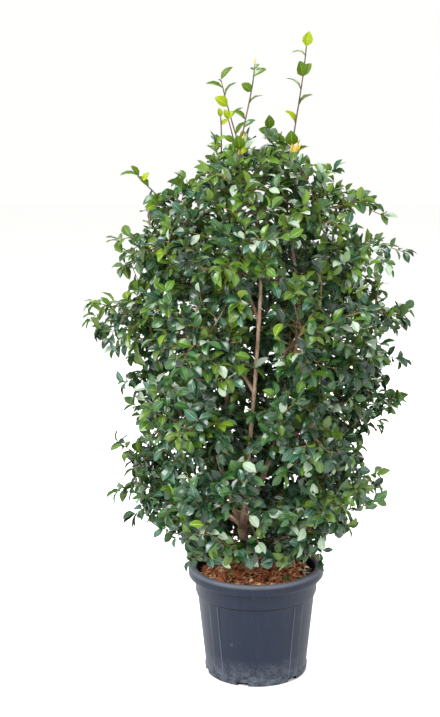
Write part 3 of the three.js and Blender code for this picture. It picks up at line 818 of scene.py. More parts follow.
masses = []
for tier_name, tier in TIERS.items():
    for number, turn in enumerate(tier["turns"]):
        angle = math.radians(turn)
        across = tier["left"] if math.cos(angle) < 0 else tier["right"]
        reach = 1 / math.hypot(math.cos(angle) / across, math.sin(angle) / tier["depth"])
        tip = polar(turn, reach - SPRAY_LENGTH * 0.8, tier["height"])
        foot = polar(turn, reach * BOUGH_SHARE, tier["height"] - tier["rise"] * 0.42)
        out = polar(turn, 1, 0)
        if tier_name == "skirt":
            parent, t = trunk, 0.42 + 0.16 * number
        else:
            parent, t = nearest_stem(turn, tier["height"] - tier["rise"])
        start = parent["path"].at(t)
        heading = unit(out + UP * 0.55)
        path = curve_between(start, unit(foot - start), foot, heading, 0.3)
        root_radius = max(BOUGH_TIP_RADIUS + 0.0008, parent["radius_at"](t) * 0.62)
        name = f"{tier_name}_{number + 1}"
        bough = add_limb(f"bough_{name}", path, taper(root_radius, BOUGH_TIP_RADIUS))
        bough["parent"], bough["parent_t"] = parent, t
        spine = curve_between(foot + heading * CLEARANCE, heading, tip, unit(out + UP * 0.35), 0.34)
        masses.append({"name": f"foliage_{name}", "spine": spine, "shoots": {}})

for stem, (name, top) in zip(stems, TOPS.items()):
    foot = stem["path"].at(1)
    heading = stem["path"].heading(1)
    tip = np.array(top["tip"])
    start = foot + heading * CLEARANCE
    spine = curve_between(start, heading, tip, unit(np.array([*(tip - start)[:2], 0.120])), 0.34)
    shoots = {}
    for shoot_name, (wanted, end) in top["shoots"].items():
        near = min(range(21), key=lambda k: np.linalg.norm(spine.at(k / 20) - wanted)) / 20
        root, end = spine.at(near), np.array(end)
        shoots[shoot_name] = curve_between(root, spine.heading(near), end, unit(end - root), 0.3)
    masses.append({"name": f"foliage_top_{name}", "spine": spine, "shoots": shoots})
for mass in masses:
    mass["lines"] = [path.at(np.linspace(0, 1, 5)) for path in [mass["spine"], *mass["shoots"].values()]]
print(len(limbs), "limbs and", len(masses), "masses")

# %% [markdown]
# ## Keeping to a mass's own space
# A mass may only fill the space that is nearer to its own spine than to any other, and it keeps off the
# limbs, off the bark and out of two openings where a limb shows from the front. Distances to short
# straight pieces of each line are enough for that.

# %% The test for a free place
LOWEST_LEAF = POT_HEIGHT + 0.008
SPACE_CELL = 0.003
SPACE_LIMB = 0.008
CROWN_MIDDLE = 0.640
OPENINGS = (
    {"x": (-0.020, 0.026), "height": (0.690, 0.960), "slope": 0.195, "behind": -0.150},
    {"x": (-0.062, -0.008), "height": (0.336, 0.392), "slope": 0.337, "behind": -0.024},
)

mass_pieces, piece_mass = [], []
for number, mass in enumerate(masses):
    for line in mass["lines"]:
        mass_pieces.extend(zip(line[:-1], line[1:]))
        piece_mass.extend([number] * (len(line) - 1))
mass_pieces = np.array(mass_pieces)
piece_mass = np.array(piece_mass)
limb_pieces = np.concatenate([np.stack([limb["line"][:-1], limb["line"][1:]], axis=1) for limb in limbs])
limb_radii = np.repeat([limb["radius_at"](0) for limb in limbs], 8)


def distances(points, pieces):
    """Distance from each point to each straight piece."""
    start, along = pieces[:, 0], pieces[:, 1] - pieces[:, 0]
    from_start = points[:, None] - start[None]
    share = np.clip((from_start * along).sum(-1) / (along * along).sum(-1), 0, 1)
    return np.linalg.norm(from_start - share[..., None] * along, axis=-1)


def in_opening(points, openings=OPENINGS):
    """Which points lie in one of the openings."""
    found = np.zeros(len(points), bool)
    for opening in openings:
        level = points[:, 2] + opening["slope"] * points[:, 1]
        x_low, x_high = opening["x"]
        low, high = opening["height"]
        across = (points[:, 0] > x_low) & (points[:, 0] < x_high)
        found |= across & (points[:, 1] < opening["behind"]) & (level > low) & (level < high)
    return found


def clear_of_limbs(points, spare):
    return (distances(points, limb_pieces) > limb_radii + spare).all(axis=1)


def is_free(points, number, spare):
    """True if every point lies in the mass's own space, clear of limbs, openings and the pot."""
    points = np.atleast_2d(points)
    if in_opening(points).any() or (points[:, 2] < LOWEST_LEAF).any():
        return False
    apart = distances(points, mass_pieces)
    own = apart[:, piece_mass == number].min(axis=1)
    other = apart[:, piece_mass != number].min(axis=1)
    return bool((other >= own + SPACE_CELL).all() and clear_of_limbs(points, spare).all())


# %% [markdown]
# ## The growth rule
# Twigs leave a spine by the golden angle, 137.5 degrees further round each time, as most shrubs do. Each
# twig carries two sprays of leaves and the spine five more. A spray that would leave the space tries
# again, shorter and turned a little, up to nine times. One seed per mass drives every choice, so the same
# plant grows each time, and its sprays stand where the solid ones stand.

# %% Twigs and sprays
GOLDEN_TURN = math.radians(137.5)
TWIG = {"count": 5, "first": 0.14, "last": 0.9, "radius": 0.0027, "reach": 0.096, "spread": 62}
SPINE_SPRAYS = ((0.97, 0, 8), (0.86, math.pi, 62), (0.74, 0, 62), (0.6, 2, 62), (0.4, 5, 62))
SPINE_STEPS = 2
SPRAY = {"droop": 0.012, "angle": 62, "hang": 0.45, "tries": 9, "shrink": 0.93}


def seeded(seed):
    """A draw of numbers that repeats itself for the same seed."""
    state = (seed * 7919 + 104729) % 2147483647

    def draw(low=0.0, high=1.0):
        nonlocal state
        state = (state * 48271) % 2147483647
        return low + (high - low) * state / 2147483647

    return draw


def point_on(path, steps, t):
    """The point at t on the straight pieces that a solid limb of so many steps is made of."""
    step = min(steps - 1, int(t * steps))
    start, end = path.at(step / steps), path.at((step + 1) / steps)
    return start + (end - start) * (t * steps - step)


def heading_from(along, turn, spread):
    """A heading turned away from another by spread degrees, towards the side that turn gives."""
    level = np.cross(along, UP)
    level = unit(level) if np.linalg.norm(level) > 1e-3 else np.array([1.0, 0.0, 0.0])
    upright = unit(np.cross(level, along))
    around = level * math.cos(turn) + upright * math.sin(turn)
    angle = math.radians(spread)
    return unit(along * math.cos(angle) + around * math.sin(angle))


def outward_at(point):
    return unit(np.array([point[0], point[1], (point[2] - CROWN_MIDDLE) * 0.5]))


def face_for(root, heading, roll):
    """The way a leaf's upper side looks: outwards and up, square to its heading, rolled a little."""
    face = outward_at(root) + UP * 0.45
    face = unit(face - heading * face.dot(heading))
    return face * math.cos(roll) + np.cross(heading, face) * math.sin(roll)


SPRAY_TEST = ((0.25, -0.6), (0.25, 0.6), (0.45, -1), (0.45, 0), (0.45, 1), (0.72, -0.5), (0.72, 0.5), (1, 0))


def spray_points(root, heading, face, length, width):
    side = unit(np.cross(heading, face))
    points = []
    for along, across in SPRAY_TEST:
        sag = max(0, along - 0.45) * SPRAY["droop"] * 1.8
        points.append(root + heading * along * length + side * across * width / 2 - face * sag)
    return np.array(points)


def lay_twigs(mass, number, seed):
    draw = seeded(seed)
    twigs = []
    for k in range(TWIG["count"]):
        t = TWIG["first"] + (TWIG["last"] - TWIG["first"]) * k / (TWIG["count"] - 1)
        turn = k * GOLDEN_TURN + draw(-0.4, 0.4) + seed
        reach = TWIG["reach"] * draw(0.82, 1.12) * (1 - 0.3 * t)
        root = point_on(mass["spine"], SPINE_STEPS, t)
        heading = heading_from(mass["spine"].heading(t), turn, TWIG["spread"])
        end = root + heading * reach + UP * reach * 0.1
        path = curve_between(root, heading, end, unit(heading + UP * 0.35), 0.33)
        free = all(is_free(path.at(s), number, TWIG["radius"] + 0.002) for s in (0.35, 0.7, 1))
        twigs.append({"path": path, "t": t, "turn": turn, "free": free})
    return twigs


def lay_sprays(mass, twigs):
    """Where each spray roots: its path and straight steps, the share along it, the side and the angle."""
    sprays = []
    for twig in twigs:
        if twig["free"]:
            sprays.append((twig["path"], 1, 0.5, twig["turn"], SPRAY["angle"]))
            sprays.append((twig["path"], 1, 0.96, twig["turn"] + math.pi, 30))
        else:
            sprays.append((mass["spine"], SPINE_STEPS, twig["t"], twig["turn"], SPRAY["angle"]))
    for t, turn, angle in SPINE_SPRAYS:
        sprays.append((mass["spine"], SPINE_STEPS, t, turn, angle))
    return sprays


def place_spray(spray, number, seed):
    """Root, heading, face, length and width of a spray at its first free try, or None."""
    path, steps, t, turn, angle = spray
    draw = seeded(seed)
    root = point_on(path, steps, t)
    outward = outward_at(root)
    for tries in range(SPRAY["tries"]):
        heading = heading_from(path.heading(t), turn + draw(-0.3, 0.3) * (tries + 2), angle)
        heading = heading - outward * SPRAY["hang"] * heading.dot(outward)
        heading = unit(heading + UP * draw(-0.3, 0.15))
        face = face_for(root, heading, draw(-0.4, 0.4))
        grow = draw(0.9, 1.12) * SPRAY["shrink"] ** tries
        length, width = SPRAY_LENGTH * grow, SPRAY_WIDTH * grow
        if is_free(spray_points(root, heading, face, length, width), number, SPACE_LIMB):
            return root, heading, face, length, width
    return None


sprays = []
for number, mass in enumerate(masses):
    seed = FIRST_SEED + number
    mass["twigs"] = lay_twigs(mass, number, seed)
    for index, spray in enumerate(lay_sprays(mass, mass["twigs"])):
        placed = place_spray(spray, number, seed * 100 + index)
        if placed:
            sprays.append((number, *placed))
print(len(sprays), "sprays of leaves")

# %% [markdown]
# ## Finer twigs and single leaves
# A solid spray is one blade. Here it becomes a leafy shoot: a thin twig that bends down under its load,
# leaves that alternate along it and crowd towards its tip, and two short side shoots on its lower half.
# Every leaf gets a root, a heading and the way its upper side looks. The face turns outwards and up to
# the light, which is why the crown looks glossy from every side.

# %% Leafy shoots
growth = np.random.default_rng(7)
TINTS = ("deep", "dark", "mid", "blue", "olive", "fresh", "lime")
# Shares of each tint low in the crown and at its top. The top's yellow-greens are partly young growth and
# partly painted light shining through the leaves.
TINTS_LOW = np.array([0.25, 0.18, 0.28, 0.15, 0.10, 0.03, 0.01])
TINTS_HIGH = np.array([0.13, 0.06, 0.18, 0.08, 0.30, 0.21, 0.04])
STRAY_TINT = 0.45                     # how many leaves of a spray take a colour of their own
PAINTED_SHEEN = {"low": 0.070, "high": 0.180}  # how many leaves are painted pale as sheen, below and at the top
# Sprays low and near the middle of the crown are painted dark, as shade.
SHADED = {"within": 0.12, "below": 1.08}
tubes = {"twigs": [], "shoots": [], "long_shoots": []}        # of each: path, radius at root, radius at tip
leaves = {tint: [] for tint in (*TINTS, "painted_sheen")}


def add_leaf(tint, root, heading, face, length, width, bend, rise, fold):
    leaves[tint].append((root, unit(heading), face, length, width, bend, rise, fold))


def square_to(face, heading):
    return unit(face - heading * face.dot(heading))


def highness(height):
    """0 in the lower crown, rising to 1 towards its top."""
    return min(1.0, max(0.0, (height - 1.0) / 0.2))


def tint_for(root):
    """A spray's colour: dark inside the crown as painted shade, and fresher towards its top."""
    if math.hypot(root[0], root[1]) < SHADED["within"] and root[2] < SHADED["below"]:
        return growth.choice(("dark", "deep"))
    high = min(1.0, max(0.0, (root[2] - 0.75) / 0.45))
    mix = TINTS_LOW + (TINTS_HIGH - TINTS_LOW) * high
    return growth.choice(TINTS, p=mix / mix.sum())


def twig_leaf(tint, path, u, azimuth, side, up_side, opening, size):
    """One leaf on a twig at u, opening away from it on the side that azimuth gives."""
    along = path.heading(u)
    around = side * math.cos(azimuth) + up_side * math.sin(azimuth)
    root = path.at(u)
    heading = along * math.cos(opening) + around * math.sin(opening)
    heading = unit(heading + UP * (0.45 * highness(root[2]) - 0.14) + growth.normal(0, 0.20, 3))
    look = up_side * 0.45 + UP * 0.60 + outward_at(root) * 0.40 + growth.normal(0, 0.42, 3)
    length = growth.uniform(0.029, 0.043) * size
    width = length * growth.uniform(0.48, 0.60)
    bend = growth.uniform(0.35, 1.35)
    if growth.random() < STRAY_TINT:
        tint = tint_for(root)
    # Painted sheen: some leaves take a pale tint all over for the light their wax throws back, more of them
    # towards the top.
    if growth.random() < PAINTED_SHEEN["low"] + (PAINTED_SHEEN["high"] - PAINTED_SHEEN["low"]) * highness(root[2]):
        tint = "painted_sheen"
    fold = growth.uniform(0.20, 0.50)
    add_leaf(tint, root, heading, square_to(look, heading), length, width, bend, 0.25, fold)


def leafy_shoot(root, heading, face, length, nodes, radius, tint, size=1.0):
    """A thin twig with alternate leaves that crowd towards its tip, and a pair that ends it."""
    side = unit(np.cross(heading, face))
    end = root + heading * length * 0.96 - face * length * 0.10 - UP * length * 0.06
    path = curve_between(root, heading, end, unit(heading - face * 0.25 - UP * 0.15), 0.33)
    tubes["shoots"].append((path, radius, radius * 0.6))
    azimuth = growth.uniform(0, 2 * math.pi)
    for k in range(nodes):
        u = 0.20 + 0.72 * (k / max(1, nodes - 1)) ** 0.8
        azimuth += GOLDEN_TURN
        opening = math.radians(70 - 18 * u + growth.normal(0, 10))
        twig_leaf(tint, path, u, azimuth, side, face, opening, size * (0.86 + 0.14 * u))
    for k, opening in enumerate((48, 22)):
        turn = azimuth + GOLDEN_TURN * (k + 1)
        opening = math.radians(opening + growth.normal(0, 10))
        twig_leaf(tint, path, 1.0, turn, side, face, opening, size * 0.94)
    return path, side


shoot_tips = []
for number, root, heading, face, length, width in sprays:
    tint = tint_for(root)
    path, side = leafy_shoot(root, heading, face, length * 0.60, 4, 0.0014, tint)
    masses[number].setdefault("limbs", []).append(path)
    shoot_tips.append(path.at(0.8))
    for u, hand in ((0.22, 1), (0.5, -1)):
        along = path.heading(u)
        away = unit(along * 0.6 + side * hand * 0.75 + face * growth.uniform(-0.5, 0.5))
        leafy_shoot(path.at(u), away, square_to(face, away), length * 0.26, 1, 0.0011, tint, 0.92)
        shoot_tips.append(path.at(u) + away * length * 0.26)

# %% [markdown]
# The twigs branch once more, wherever there is room: a new shoot starts on any twig of its mass, or on
# the stem behind it, at a chance place and by the golden angle. It is kept only if it stays in the mass's
# own space, inside the outline of the crown, and far enough from the tips of its neighbours. That spreads
# the leaves evenly, as light does on a living shrub. Shoots in the top of the crown grow more upright
# than those below.

# %% Fine shoots fill the crown
OUTLINE = np.array([                  # height, and the crown's reach to the left, to the right and in depth
    (0.290, 0.170, 0.150, 0.160), (0.330, 0.210, 0.175, 0.200), (0.400, 0.290, 0.235, 0.250),
    (0.440, 0.325, 0.270, 0.275), (0.480, 0.325, 0.295, 0.290), (0.540, 0.300, 0.285, 0.300),
    (0.580, 0.325, 0.275, 0.305), (0.620, 0.290, 0.300, 0.310), (0.680, 0.300, 0.335, 0.320),
    (0.740, 0.300, 0.330, 0.325), (0.777, 0.280, 0.335, 0.325), (0.816, 0.340, 0.335, 0.330),
    (0.900, 0.385, 0.320, 0.330), (0.960, 0.315, 0.300, 0.325), (1.027, 0.295, 0.300, 0.315),
    (1.065, 0.315, 0.290, 0.300), (1.100, 0.290, 0.260, 0.280), (1.178, 0.235, 0.225, 0.235),
    (1.215, 0.190, 0.185, 0.200), (1.253, 0.135, 0.165, 0.160), (1.290, 0.110, 0.125, 0.120),
    (1.330, 0.075, 0.080, 0.075), (1.370, 0.030, 0.030, 0.030),
])
FINE = {"tries": 700, "most": 38, "apart": 0.033, "long": (0.035, 0.090), "spread": (38, 80), "on_stem": 0.30}


def in_outline(point):
    left, right, depth = (np.interp(point[2], OUTLINE[:, 0], OUTLINE[:, k]) for k in (1, 2, 3))
    across = left if point[0] < 0 else right
    return OUTLINE[0, 0] < point[2] < OUTLINE[-1, 0] and math.hypot(point[0] / across, point[1] / depth) < 1


filled = 0
for number, mass in enumerate(masses):
    parents = [mass["spine"], *(twig["path"] for twig in mass["twigs"] if twig["free"]), *mass["limbs"]]
    if number < len(masses) - len(TOPS):
        bough = limbs[1 + len(STEMS) + number]
        parents.append(bough["path"])
        stem = bough["parent"]["path"]
    else:
        parents.extend(mass["shoots"].values())
        stem = stems[number - len(masses) + len(TOPS)]["path"]
    made = 0
    for k in range(FINE["tries"]):
        parent = stem if growth.random() < FINE["on_stem"] else parents[growth.integers(len(parents))]
        t = growth.uniform(0.10, 0.95)
        root = parent.at(t)
        high = highness(root[2])
        heading = heading_from(parent.heading(t), k * GOLDEN_TURN, growth.uniform(*FINE["spread"]))
        heading = unit(heading + outward_at(root) * 0.25 + UP * (growth.uniform(-0.2, 0.25) + 0.6 * high))
        length = growth.uniform(*FINE["long"])
        tip = root + heading * length
        reach = root + heading * (length + 0.026)
        if not in_outline(reach) or not is_free([root + heading * length * 0.6, tip, reach], number, 0.004):
            continue
        if np.linalg.norm(np.array(shoot_tips) - tip, axis=1).min() < FINE["apart"] * (1 + 0.22 * high):
            continue
        face = face_for(root, heading, growth.uniform(-0.5, 0.5))
        path, side = leafy_shoot(root, heading, face, length, 4, 0.0012, tint_for(root))
        parents.append(path)
        shoot_tips.append(tip)
        filled += 1
        made += 1
        if made == FINE["most"]:
            break
print(filled, "fine shoots, and", len(shoot_tips), "shoots in all")

# %% [markdown]
# Some shoots make the crown's outline what it is: tufts that reach out at the sides, young ones that rise
# between the long shoots, and a few that hang in front of the trunk. Each is named by the place of its
# tip and grows there from the twig that suits it best: one that is near and already heads that way.

# %% Shoots that reach a named place
SHORTEST_REACH = 0.030
REACHING = (                          # place of the tip, number of leaves along it, and tint
    (0.180, -0.030, 1.234, 6, "olive"), (0.279, -0.020, 1.157, 5, "mid"),
    (0.269, -0.040, 1.085, 6, "olive"), (0.349, -0.010, 1.051, 6, "deep"),
    (0.347, 0.010, 0.917, 6, "olive"), (0.346, -0.020, 0.804, 6, "deep"), (0.341, 0.000, 0.690, 6, "mid"),
    (0.300, -0.020, 0.483, 5, "deep"), (0.249, -0.060, 0.451, 5, "mid"),
    (-0.321, -0.030, 1.082, 5, "olive"), (-0.386, -0.020, 0.940, 6, "fresh"),
    (-0.390, -0.050, 0.902, 6, "olive"), (-0.374, 0.000, 0.872, 6, "mid"),
    (-0.342, -0.060, 0.850, 6, "deep"), (-0.320, -0.010, 0.734, 6, "blue"),
    (-0.341, -0.020, 0.581, 6, "fresh"), (-0.334, -0.040, 0.477, 6, "mid"),
    (-0.297, -0.060, 0.428, 6, "deep"), (-0.175, -0.080, 0.325, 5, "mid"),
    (-0.143, -0.110, 0.325, 5, "mid"), (-0.047, -0.125, 0.345, 5, "fresh"),
    (-0.014, -0.130, 0.335, 5, "fresh"), (0.040, -0.125, 0.345, 5, "deep"),
    (0.010, -0.100, 0.360, 5, "deep"), (0.145, -0.060, 0.325, 5, "deep"),
    (-0.114, -0.060, 1.232, 5, "olive"), (-0.160, -0.060, 1.195, 5, "olive"),
    (-0.092, -0.010, 1.297, 5, "lime"), (-0.055, -0.040, 1.276, 6, "fresh"),
    (0.014, -0.030, 1.266, 6, "olive"), (0.063, 0.000, 1.273, 6, "olive"),
    (0.101, -0.050, 1.247, 6, "fresh"), (-0.023, -0.090, 1.243, 6, "olive"),
    (-0.068, -0.090, 1.234, 6, "fresh"), (0.169, -0.060, 1.186, 5, "olive"),
    (0.036, -0.110, 1.200, 6, "mid"), (-0.197, -0.070, 1.118, 5, "fresh"),
    (-0.249, -0.060, 1.053, 5, "olive"), (0.211, -0.070, 1.118, 5, "mid"),
    (0.000, 0.060, 1.270, 6, "olive"), (-0.050, 0.080, 1.260, 6, "mid"),
    (0.070, 0.090, 1.240, 6, "olive"), (0.020, 0.010, 1.235, 6, "mid"),
    (-0.100, 0.040, 1.250, 6, "olive"), (0.120, 0.030, 1.235, 6, "fresh"),
    (0.000, -0.205, 0.806, 4, "mid"), (-0.008, -0.215, 0.700, 4, "mid"),
    (-0.182, -0.060, 1.205, 4, "fresh"), (-0.226, -0.055, 1.165, 4, "fresh"),
    (0.295, -0.030, 1.130, 4, "olive"), (0.150, -0.060, 1.225, 4, "fresh"),
)
SHARES = np.linspace(0.3, 1.0, 8)
twig_paths = [path for path, *_ in tubes["shoots"]]
twig_paths += [twig["path"] for mass in masses for twig in mass["twigs"] if twig["free"]]
twig_paths += [path for mass in masses for path in (mass["spine"], *mass["shoots"].values())]
twig_paths += [limb["path"] for limb in limbs[1:]]
twig_spots = np.concatenate([path.at(SHARES) for path in twig_paths])
twig_headings = np.repeat([path.heading(0.8) for path in twig_paths], len(SHARES), axis=0)


def cost_from_twigs(tip):
    """How far a tip is from each spot on a twig; more for a shoot that turns back, hangs or is too short."""
    away = tip - twig_spots
    apart = np.linalg.norm(away, axis=1)
    turned_back = 1 - (away * twig_headings).sum(1) / np.maximum(apart, 1e-6)
    hanging = 0.5 * np.maximum(0, -away[:, 2])
    return np.where(apart < SHORTEST_REACH, 1.0, apart * (1 + 0.6 * turned_back) + hanging)


def reach_for(tip, nodes, tint, radius, size=1.0):
    """Grows a leafy shoot to a tip from the twig that costs least."""
    spot = cost_from_twigs(tip).argmin()
    root = twig_spots[spot]
    heading = unit(unit(tip - root) + twig_headings[spot] * 0.25)
    face = face_for(root, heading, growth.uniform(-0.4, 0.4))
    leafy_shoot(root, heading, face, np.linalg.norm(tip - root), nodes, radius, tint, size)


for x, y, z, nodes, tint in REACHING:
    reach_for(np.array((x, y, z)), nodes, tint, 0.0014)
print(len(REACHING), "reaching shoots")

# %% [markdown]
# The crown is dense: little daylight shows through it. So it is looked through from eight sides, at eye
# height. Every leaf covers a few cells of a fine raster of lines of sight. Where a line well inside the
# outline meets no leaf, one more shoot grows to a place on that line, wherever a twig is nearest. This
# takes far fewer leaves than filling the whole inside.

# %% Shoots that close the gaps one can see through
VIEWER = {"away": 3.3, "height": 1.47, "cell": 0.0017}        # metres, metres and radians
VIEW_TURNS = (-90, 90, 0, 180, -45, 135, 45, -135)
INNER = {                             # share of the outline that is looked through, below and at the top
    "share": (0.90, 0.62), "depths": np.linspace(-0.16, 0.16, 9), "leaves": 3, "longest": 0.12, "size": 1.05,
}
RASTER = {"aside": 0.36, "low": 0.34, "high": 1.24, "step": 0.008}      # metres: where lines of sight pass
BESIDE = ((0, 0), (1, 0), (-1, 0), (0, 1), (0, -1))                     # a cell and its four neighbours


def sight_cells(points, place, turn):
    """The raster cells in which points are seen from a place that looks towards the axis."""
    away = points - place
    ahead = -(away[:, 0] * math.cos(turn) + away[:, 1] * math.sin(turn))
    across = -away[:, 0] * math.sin(turn) + away[:, 1] * math.cos(turn)
    return np.round(np.stack([across / ahead, away[:, 2] / ahead], axis=1) / VIEWER["cell"]).astype(int)


def cells_round(cells):
    """The cells themselves and their neighbours, as a set."""
    return {(a + i, b + j) for a, b in cells.tolist() for i, j in BESIDE}


def leaf_samples(rows):
    return np.concatenate([
        np.array([row[0] + row[1] * row[3] * share for row in rows]) for share in (0.25, 0.5, 0.75)
    ])


closed = 0
for degrees in VIEW_TURNS:
    turn = math.radians(degrees)
    place = np.array([VIEWER["away"] * math.cos(turn), VIEWER["away"] * math.sin(turn), VIEWER["height"]])
    grown = [row for rows in leaves.values() for row in rows]
    covered = cells_round(sight_cells(leaf_samples(grown), place, turn))
    aside = np.array([-math.sin(turn), math.cos(turn), 0.0])
    for height in np.arange(RASTER["low"], RASTER["high"], RASTER["step"]):
        share = np.interp(highness(height), (0, 1), INNER["share"])
        for across in np.arange(-RASTER["aside"], RASTER["aside"] + 0.001, RASTER["step"]):
            middle = aside * across + UP * height
            if not in_outline(middle / [share, share, 1]):
                continue
            if tuple(sight_cells(middle[None], place, turn)[0].tolist()) in covered:
                continue
            sight = unit(middle - place)
            tips = [middle + sight * depth for depth in growth.permutation(INNER["depths"])]
            tips = [tip for tip in tips if in_outline(tip * [1.12, 1.12, 1])]
            tips = [tip for tip in tips if not in_opening(tip[None])[0]]
            tips = [tip for tip in tips if clear_of_limbs(tip[None], 0.006)[0]]
            if not tips:
                continue
            costs = [cost_from_twigs(tip).min() for tip in tips]
            tip = tips[int(np.argmin(costs))]
            if min(costs) > INNER["longest"]:
                continue
            before = {tint: len(rows) for tint, rows in leaves.items()}
            reach_for(tip, INNER["leaves"], tint_for(tip), 0.0012, INNER["size"])
            fresh = [row for tint, rows in leaves.items() for row in rows[before[tint]:]]
            covered |= cells_round(sight_cells(leaf_samples(fresh), place, turn))
            closed += 1
print(closed, "shoots close gaps")

for number, mass in enumerate(masses):
    tubes["twigs"].append((mass["spine"], 0.0032, 0.0019))
    for twig in mass["twigs"]:
        if twig["free"]:
            tubes["twigs"].append((twig["path"], 0.0019, 0.0012))
            tint = tint_for(twig["path"].at(0.5))
            for k, u in enumerate((0.22, 0.36, 0.62, 0.76)):
                side = unit(np.cross(twig["path"].heading(u), UP))
                twig_leaf(tint, twig["path"], u, k * GOLDEN_TURN, side, UP, math.radians(55), 0.95)
print({tint: len(rows) for tint, rows in leaves.items()})

# %% [markdown]
# ## The long top shoots
# Eight young shoots stand well out of the crown. Their leaves are few and far apart, so each one counts.
# A row gives a leaf by its place along the shoot, its lean in the front view (0 is to the right, 90 is
# up), how far it comes towards the viewer, its length and width in millimetres, how far it is turned from
# face-on to edge-on, how strongly it curls, and its colour. A bud has its place, its lean and its length,
# and "beyond" is how far the tip carries on past the shoot of the solids, in metres.

# %% Long shoots, leaf by leaf
LEADERS = {
    "tall": {"beyond": 0.0, "leaves": (
        (1.0, 80, 0.25, 37, 24, 0, 0.5, "leader_lime"), (0.952, 142, 0.0, 38, 17, 75, 2.0, "pale"),
        (0.853, 104, 0.2, 38, 30, 8, 0.6, "leader_green"),
        (0.853, 58, 0.1, 36, 22, 30, 0.8, "leader_green"), (0.783, 128, 0.0, 50, 20, 80, 1.6, "olive"),
        (0.696, 50, 0.0, 52, 18, 80, 1.5, "olive"), (0.618, 122, 0.1, 42, 25, 50, 1.2, "leader_lime"),
        (0.506, 95, 0.35, 40, 31, 5, 0.6, "leader_green"), (0.488, 150, 0.0, 56, 20, 80, 1.6, "olive"),
        (0.436, 40, 0.0, 56, 22, 70, 1.3, "leader_green"),
        (0.376, 100, 0.4, 44, 34, 0, 0.5, "leader_green"),
    ), "buds": ((0.43, 66, 56), (0.415, 76, 46), (0.44, 54, 44), (0.46, 84, 34))},
    "middle": {"beyond": 0.028, "leaves": (
        (1.04, 50, 0.1, 18, 11, 35, 0.8, "olive"), (1.04, 160, 0.1, 11, 7, 40, 0.8, "mid"),
        (0.976, 38, 0.1, 36, 18, 50, 1.0, "olive"), (0.85, 140, 0.25, 30, 22, 25, 0.8, "leader_green"),
        (0.72, 48, 0.0, 48, 15, 82, 1.6, "olive"), (0.6, 135, 0.1, 36, 18, 55, 1.1, "leader_green"),
        (0.53, 40, 0.1, 34, 16, 50, 1.0, "mid"), (0.34, 100, 0.4, 38, 28, 5, 0.6, "leader_green"),
        (0.18, 150, 0.2, 42, 22, 40, 1.0, "mid"),
    ), "buds": ((1.09, 86, 15), (0.41, 70, 20), (0.37, 104, 22))},
    "left": {"beyond": 0.019, "leaves": (
        (1.053, 52, 0.1, 42, 18, 40, 1.0, "leader_green"), (1.038, 140, 0.0, 12, 6, 60, 0.6, "mid"),
        (1.0, 156, 0.1, 44, 18, 55, 1.1, "leader_green"), (0.947, 62, 0.0, 48, 14, 84, 1.6, "olive"),
        (0.887, 142, 0.2, 38, 26, 30, 0.9, "leader_lime"), (0.819, 42, 0.1, 38, 14, 60, 0.8, "olive"),
        (0.714, 56, 0.1, 42, 20, 45, 1.0, "leader_green"), (0.586, 140, 0.2, 40, 22, 35, 1.0, "mid"),
    ), "buds": ()},
    "lime": {"beyond": 0.0, "leaves": (
        (1.0, 112, 0.1, 26, 15, 20, 0.8, "leader_lime"), (1.0, 62, 0.1, 24, 14, 30, 0.8, "leader_lime"),
        (0.78, 150, 0.1, 28, 16, 30, 0.9, "leader_green"),
        (0.66, 30, 0.1, 30, 17, 35, 0.9, "leader_lime"), (0.5, 140, 0.2, 36, 21, 30, 0.9, "olive"),
        (0.34, 40, 0.2, 38, 22, 35, 0.9, "leader_green"),
    ), "buds": ((0.7, 80, 14),)},
    "thin": {"beyond": 0.0, "leaves": (
        (1.0, 100, 0.1, 24, 13, 20, 0.8, "leader_lime"), (0.92, 40, 0.1, 22, 12, 30, 0.8, "leader_lime"),
        (0.74, 150, 0.1, 30, 17, 30, 0.9, "leader_green"), (0.55, 45, 0.2, 36, 20, 30, 0.9, "mid"),
        (0.4, 150, 0.2, 38, 22, 35, 0.9, "mid"),
    ), "buds": ()},
    "short": {"beyond": 0.0, "leaves": (
        (1.0, 92, 0.2, 36, 24, 5, 0.5, "leader_green"), (0.96, 160, 0.2, 30, 20, 15, 0.7, "leader_green"),
        (0.86, 30, 0.3, 26, 16, 30, 0.7, "blue"), (0.62, 145, 0.2, 40, 24, 35, 0.9, "mid"),
        (0.55, 50, 0.3, 28, 18, 30, 0.7, "blue"), (0.3, 50, 0.1, 36, 22, 40, 0.9, "mid"),
    ), "buds": ()},
    "side": {"beyond": 0.0, "leaves": (
        (1.0, -15, 0.2, 38, 20, 45, 0.9, "mid"), (0.98, 35, 0.1, 32, 18, 40, 0.8, "blue"),
        (0.94, -65, 0.2, 38, 22, 25, 0.9, "mid"), (0.82, 75, 0.1, 30, 20, 25, 0.8, "leader_green"),
        (0.7, 130, 0.1, 36, 22, 30, 0.9, "mid"), (0.5, 60, 0.2, 40, 24, 30, 0.9, "olive"),
    ), "buds": ()},
    "outer": {"beyond": 0.0, "leaves": (
        (1.0, 165, 0.1, 44, 18, 60, 1.3, "olive"), (0.98, 120, 0.1, 32, 16, 45, 0.9, "leader_green"),
        (0.9, 55, 0.1, 26, 16, 30, 0.8, "leader_lime"), (0.8, 130, 0.1, 36, 18, 45, 1.0, "leader_green"),
        (0.62, 200, 0.2, 42, 24, 40, 1.0, "mid"), (0.5, 80, 0.2, 40, 24, 40, 0.9, "mid"),
    ), "buds": ((0.9, 60, 14),)},
}
TOWARDS = np.array([0.0, -1.0, 0.0])
buds = []
leaves.update({"leader_green": [], "leader_lime": [], "pale": []})


